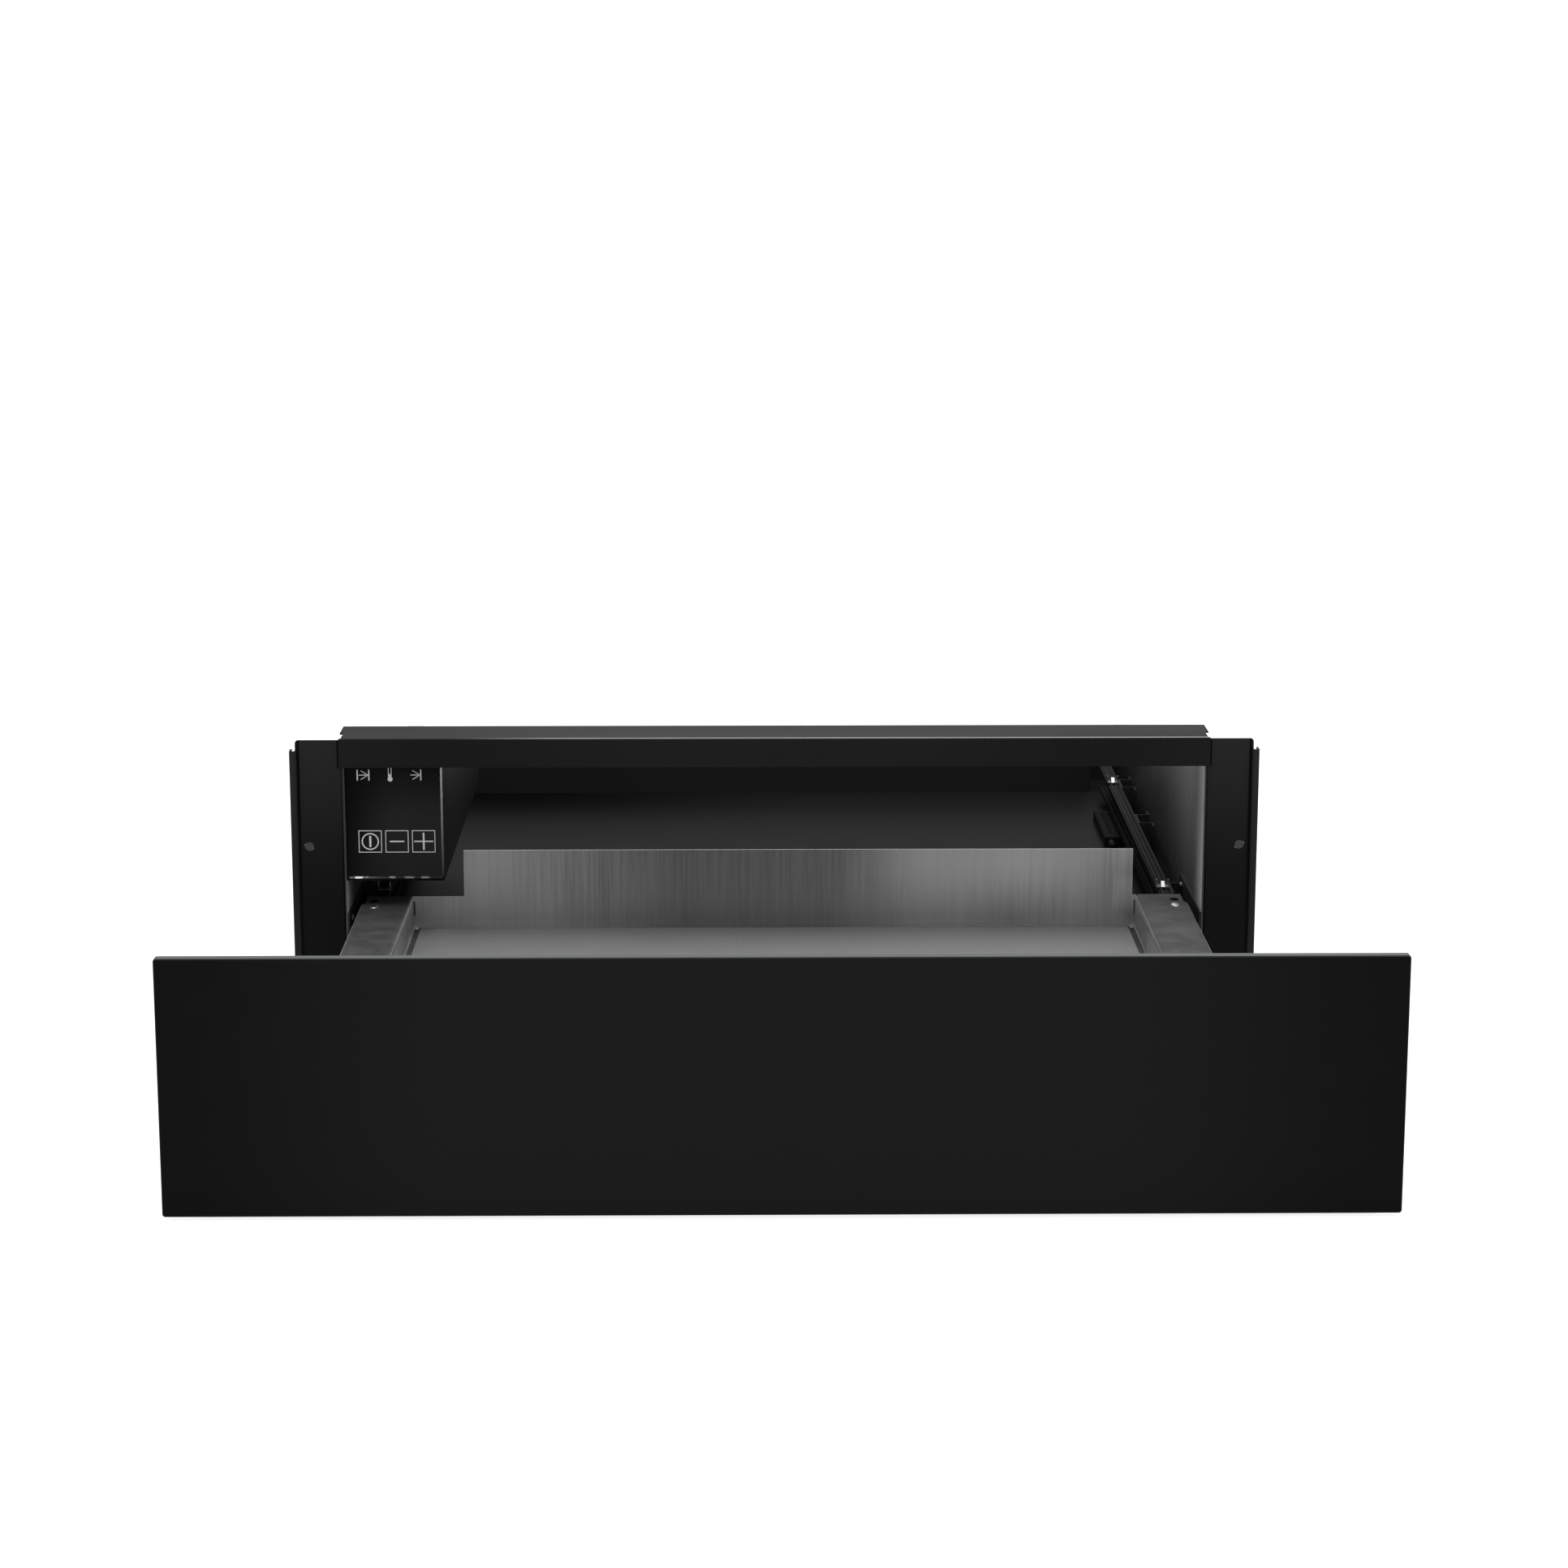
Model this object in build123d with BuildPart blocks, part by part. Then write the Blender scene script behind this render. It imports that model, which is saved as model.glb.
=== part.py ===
"""Built-in warming drawer, pulled out to its stop.

Millimetres. X runs to the right as the user faces the appliance, Y runs back into the
cabinet and Z is up. The origin lies on the underside, midway between the front panel and
the mains gland, which is the middle of the footprint with the drawer out.
"""
import os
from math import cos, radians, sin

from build123d import *

os.makedirs("parts", exist_ok=True)

# ---------------------------------------------------------------- driving dimensions
# front panel
front_width = 595.0
front_overlap = 5.5             # front past the lip of each flange
front_height = 128.0
front_bottom = 2.0
glass_thickness = 5.5
glass_corner = 1.5
glass_chamfer = 0.5
carrier_depth = 14.5
carrier_inset = 10.5            # glass edge to the carrier behind it, left and right
carrier_inset_z = 6.0           # the same at the top and bottom
carrier_corner = 3.0
bumper_inset = 12.0             # bumper centre to the carrier's side
bumper_inset_low = 22.0         # lower bumpers above the carrier's lower edge
bumper_inset_high = 14.0        # upper bumpers below the carrier's upper edge
bumper_radius = 4.0
bumper_sides = 12
bumper_clearance = 0.3          # bumper to flange with the drawer shut
front_screw_count = 4
front_screw_pitch = 120.0
front_screw_rise = 9.8          # screws above the tray's floor
screw_radius = 2.0
screw_hole_radius = 2.1
screw_head_radius = 3.6
screw_head_height = 2.0
screw_length = 6.0

# travel of the drawer and where it stops
travel = 450.0
closed_gap = 2.0                # carrier to flange with the drawer shut
tray_overlap = 25.0             # tray left behind the flange with the drawer out
duct_clearance = 5.0            # tray to the duct with the drawer shut

# body of the appliance
body_height = 140.0
body_sheet = 1.0
body_foot_width = 11.0          # turned-out foot of each side wall
wall_front_drop = 9.3           # top of the slope below the plate
wall_rim_width = 10.0           # turned-out rim along the sloping edge

# flanges that lap the cabinet's sides
flange_width = 28.1             # side wall's outer face to the lip
flange_top_drop = 1.0
flange_bottom = 2.0
flange_sheet = 1.2
flange_return = 22.0
flange_corner = 2.0
lip_width = 3.4                 # lip beyond the flange's edge
lip_lap = 1.0                   # lip's inner leg over the flange's face
lip_reach = 2.6
lip_back = 5.4                  # lip's outer leg behind the flange plane
lip_top_drop = 6.3              # top of the lip below the top of the flange
lip_groove = 1.4
lip_groove_depth = 0.7
lip_groove_end = 3.0             # plain lip left above and below the groove
lip_round = 1.2
flange_clearance = 0.3          # side wall's front edge behind the flange plane
fixing_hole_radius = 3.0
fixing_hole_height = 73.5
fixing_hole_inset = 7.2         # hole centre to the flange's outer edge

# bar and plate across the top of the mouth
bar_height = 17.7
bar_lap = 2.8                   # bar end past the side wall's inner face
bar_sheet = 1.2
bar_top_depth = 17.4
bar_bend = 1.0
plate_start = 14.0
plate_depth = 44.9
plate_drop = 12.0
plate_sheet = 0.9
plate_end_gap = 0.2             # turned-down edge to the side wall
plate_end_lap = 3.5             # plate past the side wall's outer face
plate_ear_gap = 0.3             # that part of the plate to the flange's return
small_bend = 1.0                # outer radius of the tight bends in bars and brackets

# drawer tray
tray_sheet = 0.8
tray_side_gap = 7.1             # ledge to the side wall
tray_floor_top = 16.2
tray_depth = 20.1
tray_bend = 2.4
ledge_width = 30.9              # flat top of each side, from the well to its outer lip
ledge_lip_drop = 6.3
back_rise = 28.9                # raised middle of the tray's back wall
back_rise_gap = 10.1            # raised part clear of the control unit
back_rise_inset = 1.7           # its right end to the side of the well
rise_corner = 3.0
ledge_notch_width = 3.0
ledge_notch_length = 18.0
slit_width = 0.8
slit_height = 9.0
slit_drop = 7.8                 # middle of the slit below the ledge
relief_radius = 1.5             # hole where the floor meets two walls
relief_inset = 1.7
dimple_radius = 2.4
dimple_mouth = 3.0
dimple_inset = 8.0              # dimple centre to the ledge's outer edge
dimple_back = 13.0              # dimple centre to the ledge's back edge
mat_thickness = 1.0
mat_margin = 4.3
mat_corner = 2.0

# three-part ball slides
slide_length = 450.0
slide_height = 17.0
slide_width = 10.0
slide_bottom = 10.0
slide_wall_gap = 9.5            # slide to the side wall
slide_front_setback = 3.0
slide_sheet = 1.0
slide_lip = 0.7
cabinet_lip_x = 1.3             # lip edges measured from the drawer side of the slide
middle_lip_x = 1.6
middle_sheet = 0.8
inner_side_gap = 1.6            # drawer member to the middle member's web
inner_sheet = 0.8
race_gap = 2.0                  # between the raceways of two nested members
slide_side_gap = 1.2            # between two nested webs
ball_radius = 0.8
inner_race_extra = 0.2
outer_cage_lip_x = 3.2
inner_cage_lip_x = 2.7
inner_cage_gap = 0.4
cage_sheet = 0.5
cage_length = 190.0
balls_per_row = 3
bead_height = 0.5
bead_width = 1.2
bead_xs = (3.6, 7.4)            # bead centres from the drawer side of the slide
clip_width = 8.0
clip_height = 4.6
clip_length = 7.0
clip_sheet = 0.8
clip_ear_length = 2.4
clip_tongue_width = 2.2

# angles, brackets and striker under the ledges
angle_width = 12.0
angle_bottom = 13.0
front_bracket_gap = 0.6         # drawer side of the slide to the bracket
front_bracket_width = 8.4
front_bracket_bottom = 10.0
front_bracket_reach = 32.0
striker_width = 6.0
striker_sheet = 1.2
striker_seat = 12.0
striker_bottom = 2.5

# brackets between a slide and its side wall
bracket_sheet = 1.0
corner_bracket_length = 107.0
corner_bracket_height = 31.0
bracket_face = 26.0
bracket_foot = 10.0
front_seat = 79.0               # slide seats, measured back from the flange
middle_seat = 276.0
rear_seat_inset = 63.0          # rear seat from the rear end of the cabinet member
corner_bracket_gap = 1.5        # flange plane to the bracket's front edge
corner_bracket_cut = 5.0
corner_bracket_cut_height = 9.0
bracket_drop = 4.0              # wall bracket below the slide

# control unit in the left of the mouth
fascia_width = 58.9
fascia_bottom = 53.2
fascia_top_gap = 2.0            # panel below the plate's turned-down edge
fascia_setback = 2.0
fascia_sheet = 2.0
fascia_side_gap = 1.6           # panel and bezel to the side wall
bezel_width = 1.2
bezel_corner = 2.6
bezel_proud = 0.4               # bezel in front of the touch panel
control_depth = 290.0
control_wall = 1.5
control_rear_height = 83.0
board_sheet = 1.6
housing_drop = 2.0              # underside of the housing below the panel
touch_board_margin = 4.0
touch_board_margin_z = 6.0
boss_height = 3.0
boss_radius = 3.0
boss_span = 38.0
boss_span_y = 190.0
power_board_width = 48.0
power_board_length = 206.0
power_board_setback = 165.0
transformer = (32.0, 36.0, 18.0)
transformer_y = -70.0
relay = (14.0, 24.0, 12.0)
relay_x = 11.0
relay_y = -20.0
connector = (34.0, 12.0, 12.0)
connector_y = 88.0
capacitor_radius = 6.0
capacitor_height = 10.0
capacitor_x = 10.0
capacitor_y = 22.0

# duct across the back, with its fan and heater
duct_depth = 45.0
duct_side_gap = 22.0            # duct to the side wall
duct_height = 42.0
fan_radius = 14.0
fan_length = 180.0
fan_blades = 20
fan_axis_height = 21.0
fan_axis_gap = 24.0             # fan's axis behind the front of the duct
fan_shaft_radius = 2.0
fan_shaft_reach = 10.0          # shaft beyond each end disc
shaft_clearance = 0.05
seat_clearance = 0.05
blade_depth = 5.0
blade_bow = 0.9
blade_sheet = 0.6
disc_thickness = 1.5
guide_gap = 2.4
guide_sheet = 0.6
guide_start = -110.0
guide_sweep = 165.0
guide_end_gap = 2.0
motor_size = 32.0               # square stack of the motor, seen along its shaft
motor_stack = 16.0
motor_length = 32.0
motor_strap = (12.0, 26.0)      # strap that holds the motor's bearings, width and height
motor_coil = (26.0, 9.0, 20.0)
motor_gap = 2.0
motor_boss_radius = 5.0
motor_boss_length = 2.0
motor_bore_depth = 12.0
saddle_inset = 4.0
saddle_height = 12.0
saddle_cheek = 1.5
bush_gap = 3.0
bush_size = 10.0
bush_length = 5.0
post_sheet = 1.2
post_width = 18.0
post_height = 28.0
post_foot = 12.0
heater_radius = 3.0
heater_pitch = 14.0
heater_gap = 5.5                # element's axis behind the front of the duct
holder_span = 120.0
holder_hook = 1.0
holder_height = 28.0
holder_sheet = 1.0
cutout_gap = 24.0               # cut-out's centre beyond the motor
cutout_radius = 8.0
cutout_flange = 24.0
cutout_depth = 7.0
sensor_gap = 9.0                # sensor's centre beyond the bush
sensor_width = 8.0
sensor_block = 5.0
sensor_radius = 2.0
sensor_reach = 12.0
outlet_count = 21
outlet_pitch = 8.0
outlet_width = 3.0
outlet_bottom = 23.0
outlet_height = 14.0
intake_x = 150.0
intake_count = 9
intake_pitch = 8.0
intake_width = 3.5
intake_length = 26.0

# mains gland and terminal block
gland_inset = 32.5              # gland to the end of the duct
gland_height = 24.0
gland_radius = 9.0
gland_bore = 3.6
gland_reach = 8.0
gland_chamfer = 1.2
gland_hole_radius = 6.5
gland_neck_radius = 6.4
gland_nut_radius = 8.0
gland_nut_length = 6.0
terminal_offset = 30.0
terminal_width = 24.0
terminal_depth = 26.0
terminal_height = 14.0
terminal_poles = 3
terminal_well_width = 5.0
terminal_well_length = 8.0
terminal_well_depth = 3.0

# push-to-open latch in a slot of the floor
latch_inset = 21.0              # latch to the side wall
latch_width = 15.0
latch_length = 82.0
latch_height = 8.0
latch_setback = 302.0
latch_clearance = 0.3
plunger_radius = 2.4
plunger_reach = 12.0
plunger_travel = 8.0
plunger_inset = 3.0             # plunger off the latch's middle, towards the drawer
plunger_inside = 22.0
plunger_wall = 0.6
plunger_nose = 1.2
latch_bottom = 0.3
latch_bore_depth = 60.0
latch_chamfer = 0.8
latch_groove = 1.2
latch_groove_pitch = 5.0
spring_seat_depth = 14.0
spring_wire = 0.7
spring_turns = 6

# sides of the small round forms that are drawn as polygons
hexagon = 6
octagon = 8

# ---------------------------------------------------------------- derived places
stand_off = glass_thickness + carrier_depth + closed_gap
duct_setback = travel + tray_overlap + duct_clearance
body_depth = duct_setback + duct_depth
flange_y = (travel + stand_off - body_depth - gland_reach) / 2
front_y = flange_y - travel - stand_off
glass_back_y = front_y + glass_thickness
tray_front_y = glass_back_y + carrier_depth
tray_back_y = flange_y + tray_overlap
tray_length = tray_back_y - tray_front_y
body_back_y = flange_y + body_depth
lip_outer = front_width / 2 - front_overlap
flange_edge = lip_outer - lip_width
half_outer = flange_edge - flange_width
half_inner = half_outer - body_sheet
body_inner_width = 2 * half_inner
floor_top = body_sheet
base_half_width = half_outer + body_foot_width
flange_height = body_height - flange_top_drop
lip_top = flange_height - lip_top_drop
ledge_top = tray_floor_top + tray_depth
ledge_under = ledge_top - tray_sheet
ledge_edge = half_inner - tray_side_gap
half_well = ledge_edge - ledge_width
tray_floor_under = tray_floor_top - tray_sheet
slide_outer_x = half_inner - slide_wall_gap
slide_inner_x = slide_outer_x - slide_width
slide_top = slide_bottom + slide_height
cabinet_rail_y = flange_y + slide_front_setback
rear_seat = slide_front_setback + slide_length - rear_seat_inset
middle_rail_y = cabinet_rail_y - travel / 2
drawer_rail_y = cabinet_rail_y - travel
duct_front_y = flange_y + duct_setback
duct_half_width = half_inner - duct_side_gap
fan_y = duct_front_y + fan_axis_gap
gland_x = gland_inset - duct_half_width
latch_x = half_inner - latch_inset
plunger_x = latch_x - plunger_inset
plate_top = body_height - bar_sheet
wall_front_height = plate_top - plate_sheet - wall_front_drop
wall_rear_height = duct_height + body_sheet
fascia_top = plate_top - plate_drop - fascia_top_gap
fascia_left = -half_inner
fascia_right = fascia_left + fascia_width


def section_at(y):
    """Plane of an X-Z cross-section at y; extruding by a negative amount runs back."""
    return Plane.XZ.offset(-y)


def folded(points, radius, thickness, thicken=Side.LEFT):
    """Outline of a folded sheet: a line with rounded bends, thickened to one side."""
    with BuildLine() as outline:
        FilletPolyline(*points, radius=radius)
        offset(amount=thickness, side=thicken)
    return outline.edges()


# ================================================================ body of the appliance
# ---- floor, with the slot that the latch sits in
latch_y = flange_y + latch_setback
with BuildPart() as base_pan:
    with BuildSketch():
        with Locations((0, flange_y + body_depth / 2)):
            Rectangle(2 * base_half_width, body_depth)
        with Locations((latch_x, latch_y + latch_length / 2)):
            Rectangle(
                latch_width + 2 * latch_clearance,
                latch_length + 2 * latch_clearance,
                mode=Mode.SUBTRACT,
            )
    extrude(amount=body_sheet)
base_pan.part.label = "base_pan"
export_step(base_pan.part, "parts/base_pan.step")

# ---- side walls: a foot turned out along the floor and a rim turned out along the slope
slope_start_y = flange_y + plate_depth + body_sheet
wall_front_y = flange_y + flange_clearance
for side in ("left", "right"):
    with BuildPart() as side_wall:
        with BuildSketch(Plane.YZ.offset(half_inner)):
            with BuildLine():
                Polyline(
                    (wall_front_y, floor_top),
                    (body_back_y, floor_top),
                    (body_back_y, wall_rear_height),
                    (slope_start_y, wall_front_height),
                    (slope_start_y, plate_top - plate_sheet),
                    (wall_front_y, plate_top - plate_sheet),
                    close=True,
                )
            make_face()
        extrude(amount=body_sheet)
        with BuildSketch(Plane.XY.offset(floor_top)):
            with Locations((half_inner, wall_front_y + flange_return)):
                Rectangle(
                    body_sheet + body_foot_width,
                    body_back_y - wall_front_y - flange_return,
                    align=(Align.MIN, Align.MIN),
                )
        extrude(amount=body_sheet)
        with BuildSketch(Plane.YZ.offset(half_inner)):
            with BuildLine():
                Polyline(
                    (body_back_y, wall_rear_height),
                    (slope_start_y, wall_front_height),
                    (slope_start_y, wall_front_height - body_sheet),
                    (body_back_y, wall_rear_height - body_sheet),
                    close=True,
                )
            make_face()
        extrude(amount=body_sheet + wall_rim_width)
        if side == "left":
            mirror(about=Plane.YZ, mode=Mode.REPLACE)
    side_wall.part.label = f"side_wall_{side}"
    export_step(side_wall.part, f"parts/side_wall_{side}.step")

# ---- front flanges: face, return along the side wall, hemmed outer lip beside a groove
for side in ("left", "right"):
    with BuildPart() as front_flange:
        with BuildSketch(Plane.XY.offset(flange_bottom)):
            with Locations((half_outer, flange_y)):
                Rectangle(flange_edge - half_outer, flange_sheet, align=(Align.MIN, Align.MIN))
                Rectangle(flange_sheet, flange_return, align=(Align.MIN, Align.MIN))
        extrude(amount=flange_height - flange_bottom)
        bend = front_flange.edges().filter_by(Axis.Z).sort_by(lambda e: e.center().X + e.center().Y)[0]
        fillet(bend, radius=flange_sheet)
        top_corner = front_flange.edges().filter_by(Axis.Y).group_by(Axis.Z)[-1].sort_by(Axis.X)[-1]
        fillet(top_corner, radius=flange_corner)
        with BuildSketch(Plane.XY.offset(flange_bottom)):
            with Locations((lip_outer, flange_y - lip_reach)):
                Rectangle(lip_width + lip_lap, lip_reach + flange_sheet, align=(Align.MAX, Align.MIN))
                Rectangle(flange_sheet, lip_reach + lip_back, align=(Align.MAX, Align.MIN))
            with Locations((lip_outer - flange_sheet, flange_y - lip_reach + flange_sheet)):
                Rectangle(
                    lip_width + lip_lap - 2 * flange_sheet,
                    lip_reach,
                    align=(Align.MAX, Align.MIN),
                    mode=Mode.SUBTRACT,
                )
        extrude(amount=lip_top - flange_bottom)
        lip_edges = front_flange.edges().filter_by(Axis.Z).group_by(Axis.Y)[0]
        fillet(lip_edges, radius=lip_round)
        with BuildSketch(section_at(flange_y)):
            with Locations((flange_edge - lip_lap, (flange_bottom + lip_top) / 2)):
                Rectangle(
                    lip_groove,
                    lip_top - flange_bottom - 2 * lip_groove_end,
                    align=(Align.MAX, Align.CENTER),
                )
        extrude(amount=-lip_groove_depth, mode=Mode.SUBTRACT)
        with BuildSketch(section_at(flange_y)):
            with Locations((flange_edge - fixing_hole_inset, fixing_hole_height)):
                Circle(fixing_hole_radius)
        extrude(amount=-flange_sheet, mode=Mode.SUBTRACT)
        if side == "left":
            mirror(about=Plane.YZ, mode=Mode.REPLACE)
    front_flange.part.label = f"front_flange_{side}"
    export_step(front_flange.part, f"parts/front_flange_{side}.step")

# ---- bar across the top of the mouth: face lapping both flanges, top turned back
with BuildPart() as top_bar:
    with BuildSketch(Plane.YZ):
        with Locations((flange_y - bar_sheet, body_height - bar_height)):
            Rectangle(bar_sheet, bar_height, align=(Align.MIN, Align.MIN))
    extrude(amount=half_inner + bar_lap, both=True)
    with BuildSketch(Plane.YZ):
        with Locations((flange_y, plate_top)):
            Rectangle(bar_top_depth, bar_sheet, align=(Align.MIN, Align.MIN))
    extrude(amount=half_outer, both=True)
    nose = top_bar.edges().filter_by(Axis.X).group_by(Axis.Z)[-1].sort_by(Axis.Y)[0]
    fillet(nose, radius=bar_bend)
top_bar.part.label = "top_bar"
export_step(top_bar.part, "parts/top_bar.step")

# ---- plate behind the bar, one sheet lower, with its back edge turned down
with BuildPart() as top_plate:
    with BuildSketch(Plane.YZ):
        plate_line = [
            (flange_y + plate_start, plate_top - plate_sheet),
            (flange_y + plate_depth, plate_top - plate_sheet),
            (flange_y + plate_depth, plate_top - plate_drop),
        ]
        make_face(folded(plate_line, small_bend, plate_sheet))
    extrude(amount=half_inner - plate_end_gap, both=True)
    with BuildSketch(Plane.XY.offset(plate_top)):
        with Locations((0, flange_y + flange_return + plate_ear_gap)):
            Rectangle(
                2 * (half_outer + plate_end_lap),
                plate_depth - small_bend - flange_return - plate_ear_gap,
                align=(Align.CENTER, Align.MIN),
            )
    extrude(amount=-plate_sheet)
top_plate.part.label = "top_plate"
export_step(top_plate.part, "parts/top_plate.step")

# ---- back panel, drilled for the mains gland
with BuildPart() as rear_panel:
    with BuildSketch(section_at(body_back_y - body_sheet)):
        with Locations((0, (floor_top + wall_rear_height - body_sheet) / 2)):
            Rectangle(body_inner_width, wall_rear_height - body_sheet - floor_top)
        with Locations((gland_x, gland_height)):
            Circle(gland_hole_radius, mode=Mode.SUBTRACT)
    extrude(amount=-body_sheet)
rear_panel.part.label = "rear_panel"
export_step(rear_panel.part, "parts/rear_panel.step")

# ================================================================ slide brackets
# ---- plates in the front corners, each with a turned-in seat for the slide
corner_front_y = flange_y + corner_bracket_gap
corner_back_y = flange_y + corner_bracket_length
for side in ("left", "right"):
    with BuildPart() as corner_bracket:
        with BuildSketch(Plane.YZ.offset(half_inner - bracket_sheet)):
            with BuildLine():
                Polyline(
                    (corner_front_y, floor_top),
                    (corner_back_y, floor_top),
                    (corner_back_y, corner_bracket_height - corner_bracket_cut_height),
                    (corner_back_y - corner_bracket_cut, corner_bracket_height),
                    (corner_front_y, corner_bracket_height),
                    close=True,
                )
            make_face()
        extrude(amount=bracket_sheet)
        with BuildSketch(Plane.XY.offset(slide_bottom)):
            with Locations((slide_outer_x, flange_y + front_seat)):
                Rectangle(bracket_sheet, bracket_face, align=(Align.MIN, Align.CENTER))
            with Locations((slide_outer_x, flange_y + front_seat + bracket_face / 2)):
                Rectangle(half_inner - slide_outer_x, bracket_sheet, align=(Align.MIN, Align.MAX))
        extrude(amount=slide_height)
        if side == "left":
            mirror(about=Plane.YZ, mode=Mode.REPLACE)
    corner_bracket.part.label = f"corner_bracket_{side}"
    export_step(corner_bracket.part, f"parts/corner_bracket_{side}.step")

# ---- hat-shaped brackets further back, seen in plan and extruded upwards
for side in ("left", "right"):
    for place, seat in (("middle", middle_seat), ("rear", rear_seat)):
        seat_y = flange_y + seat
        with BuildPart() as wall_bracket:
            with BuildSketch(Plane.XY.offset(slide_bottom - bracket_drop)):
                with Locations((slide_outer_x, seat_y)):
                    Rectangle(half_inner - slide_outer_x, bracket_face, align=(Align.MIN, Align.CENTER))
                with Locations((half_inner, seat_y)):
                    Rectangle(
                        half_inner - slide_outer_x - bracket_sheet,
                        bracket_face - 2 * bracket_sheet,
                        align=(Align.MAX, Align.CENTER),
                        mode=Mode.SUBTRACT,
                    )
                    with GridLocations(1, bracket_face + bracket_foot, 1, 2):
                        Rectangle(bracket_sheet, bracket_foot, align=(Align.MAX, Align.CENTER))
            extrude(amount=slide_height + bracket_drop)
            if side == "left":
                mirror(about=Plane.YZ, mode=Mode.REPLACE)
        wall_bracket.part.label = f"{place}_bracket_{side}"
        export_step(wall_bracket.part, f"parts/{place}_bracket_{side}.step")

# ================================================================ ball slides
# Each slide is three nested channels with a ball cage in either gap. The sections are
# drawn for the right side, from the drawer (low X) towards the cabinet (high X).
x0 = slide_inner_x
x1 = slide_outer_x
z0 = slide_bottom
z1 = slide_top
middle_web_x = x1 - slide_sheet - slide_side_gap
middle_top = z1 - slide_sheet - race_gap
middle_bottom = z0 + slide_sheet + race_gap
inner_race_gap = race_gap + inner_race_extra
inner_top = middle_top - middle_sheet - inner_race_gap
inner_bottom = middle_bottom + middle_sheet + inner_race_gap
inner_flange_x = middle_web_x - middle_sheet - inner_side_gap


def channel(x_lip, x_web, z_low, z_high, thickness, lip):
    """C-shaped outline: web at x_web, flanges reaching to x_lip, lips turned inward."""
    step = 1 if x_web > x_lip else -1
    with BuildLine() as outline:
        Polyline(
            (x_lip, z_low),
            (x_web, z_low),
            (x_web, z_high),
            (x_lip, z_high),
            (x_lip, z_high - thickness - lip),
            (x_lip + step * thickness, z_high - thickness - lip),
            (x_lip + step * thickness, z_high - thickness),
            (x_web - step * thickness, z_high - thickness),
            (x_web - step * thickness, z_low + thickness),
            (x_lip + step * thickness, z_low + thickness),
            (x_lip + step * thickness, z_low + thickness + lip),
            (x_lip, z_low + thickness + lip),
            close=True,
        )
    return outline.edges()


for side in ("left", "right"):
    # cabinet member, with two rolled beads along its top
    with BuildPart() as cabinet_rail:
        with BuildSketch(section_at(cabinet_rail_y)):
            make_face(channel(x0 + cabinet_lip_x, x1, z0, z1, slide_sheet, slide_lip))
            with Locations(*[(x0 + bead_x, z1) for bead_x in bead_xs]):
                Rectangle(bead_width, bead_height, align=(Align.CENTER, Align.MIN))
        extrude(amount=-slide_length)
        if side == "left":
            mirror(about=Plane.YZ, mode=Mode.REPLACE)
    cabinet_rail.part.label = f"cabinet_rail_{side}"
    export_step(cabinet_rail.part, f"parts/cabinet_rail_{side}.step")

    # middle member, out by half the drawer's travel
    with BuildPart() as middle_rail:
        with BuildSketch(section_at(middle_rail_y)):
            middle_lip = x0 + middle_lip_x
            make_face(channel(middle_lip, middle_web_x, middle_bottom, middle_top, middle_sheet, slide_lip))
        extrude(amount=-slide_length)
        if side == "left":
            mirror(about=Plane.YZ, mode=Mode.REPLACE)
    middle_rail.part.label = f"middle_rail_{side}"
    export_step(middle_rail.part, f"parts/middle_rail_{side}.step")

    # drawer member
    with BuildPart() as drawer_rail:
        with BuildSketch(section_at(drawer_rail_y)):
            with Locations((x0, inner_bottom)):
                Rectangle(inner_sheet, inner_top - inner_bottom, align=(Align.MIN, Align.MIN))
                Rectangle(inner_flange_x - x0, inner_sheet, align=(Align.MIN, Align.MIN))
            with Locations((x0, inner_top)):
                Rectangle(inner_flange_x - x0, inner_sheet, align=(Align.MIN, Align.MAX))
        extrude(amount=-slide_length)
        if side == "left":
            mirror(about=Plane.YZ, mode=Mode.REPLACE)
    drawer_rail.part.label = f"drawer_rail_{side}"
    export_step(drawer_rail.part, f"parts/drawer_rail_{side}.step")

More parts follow.
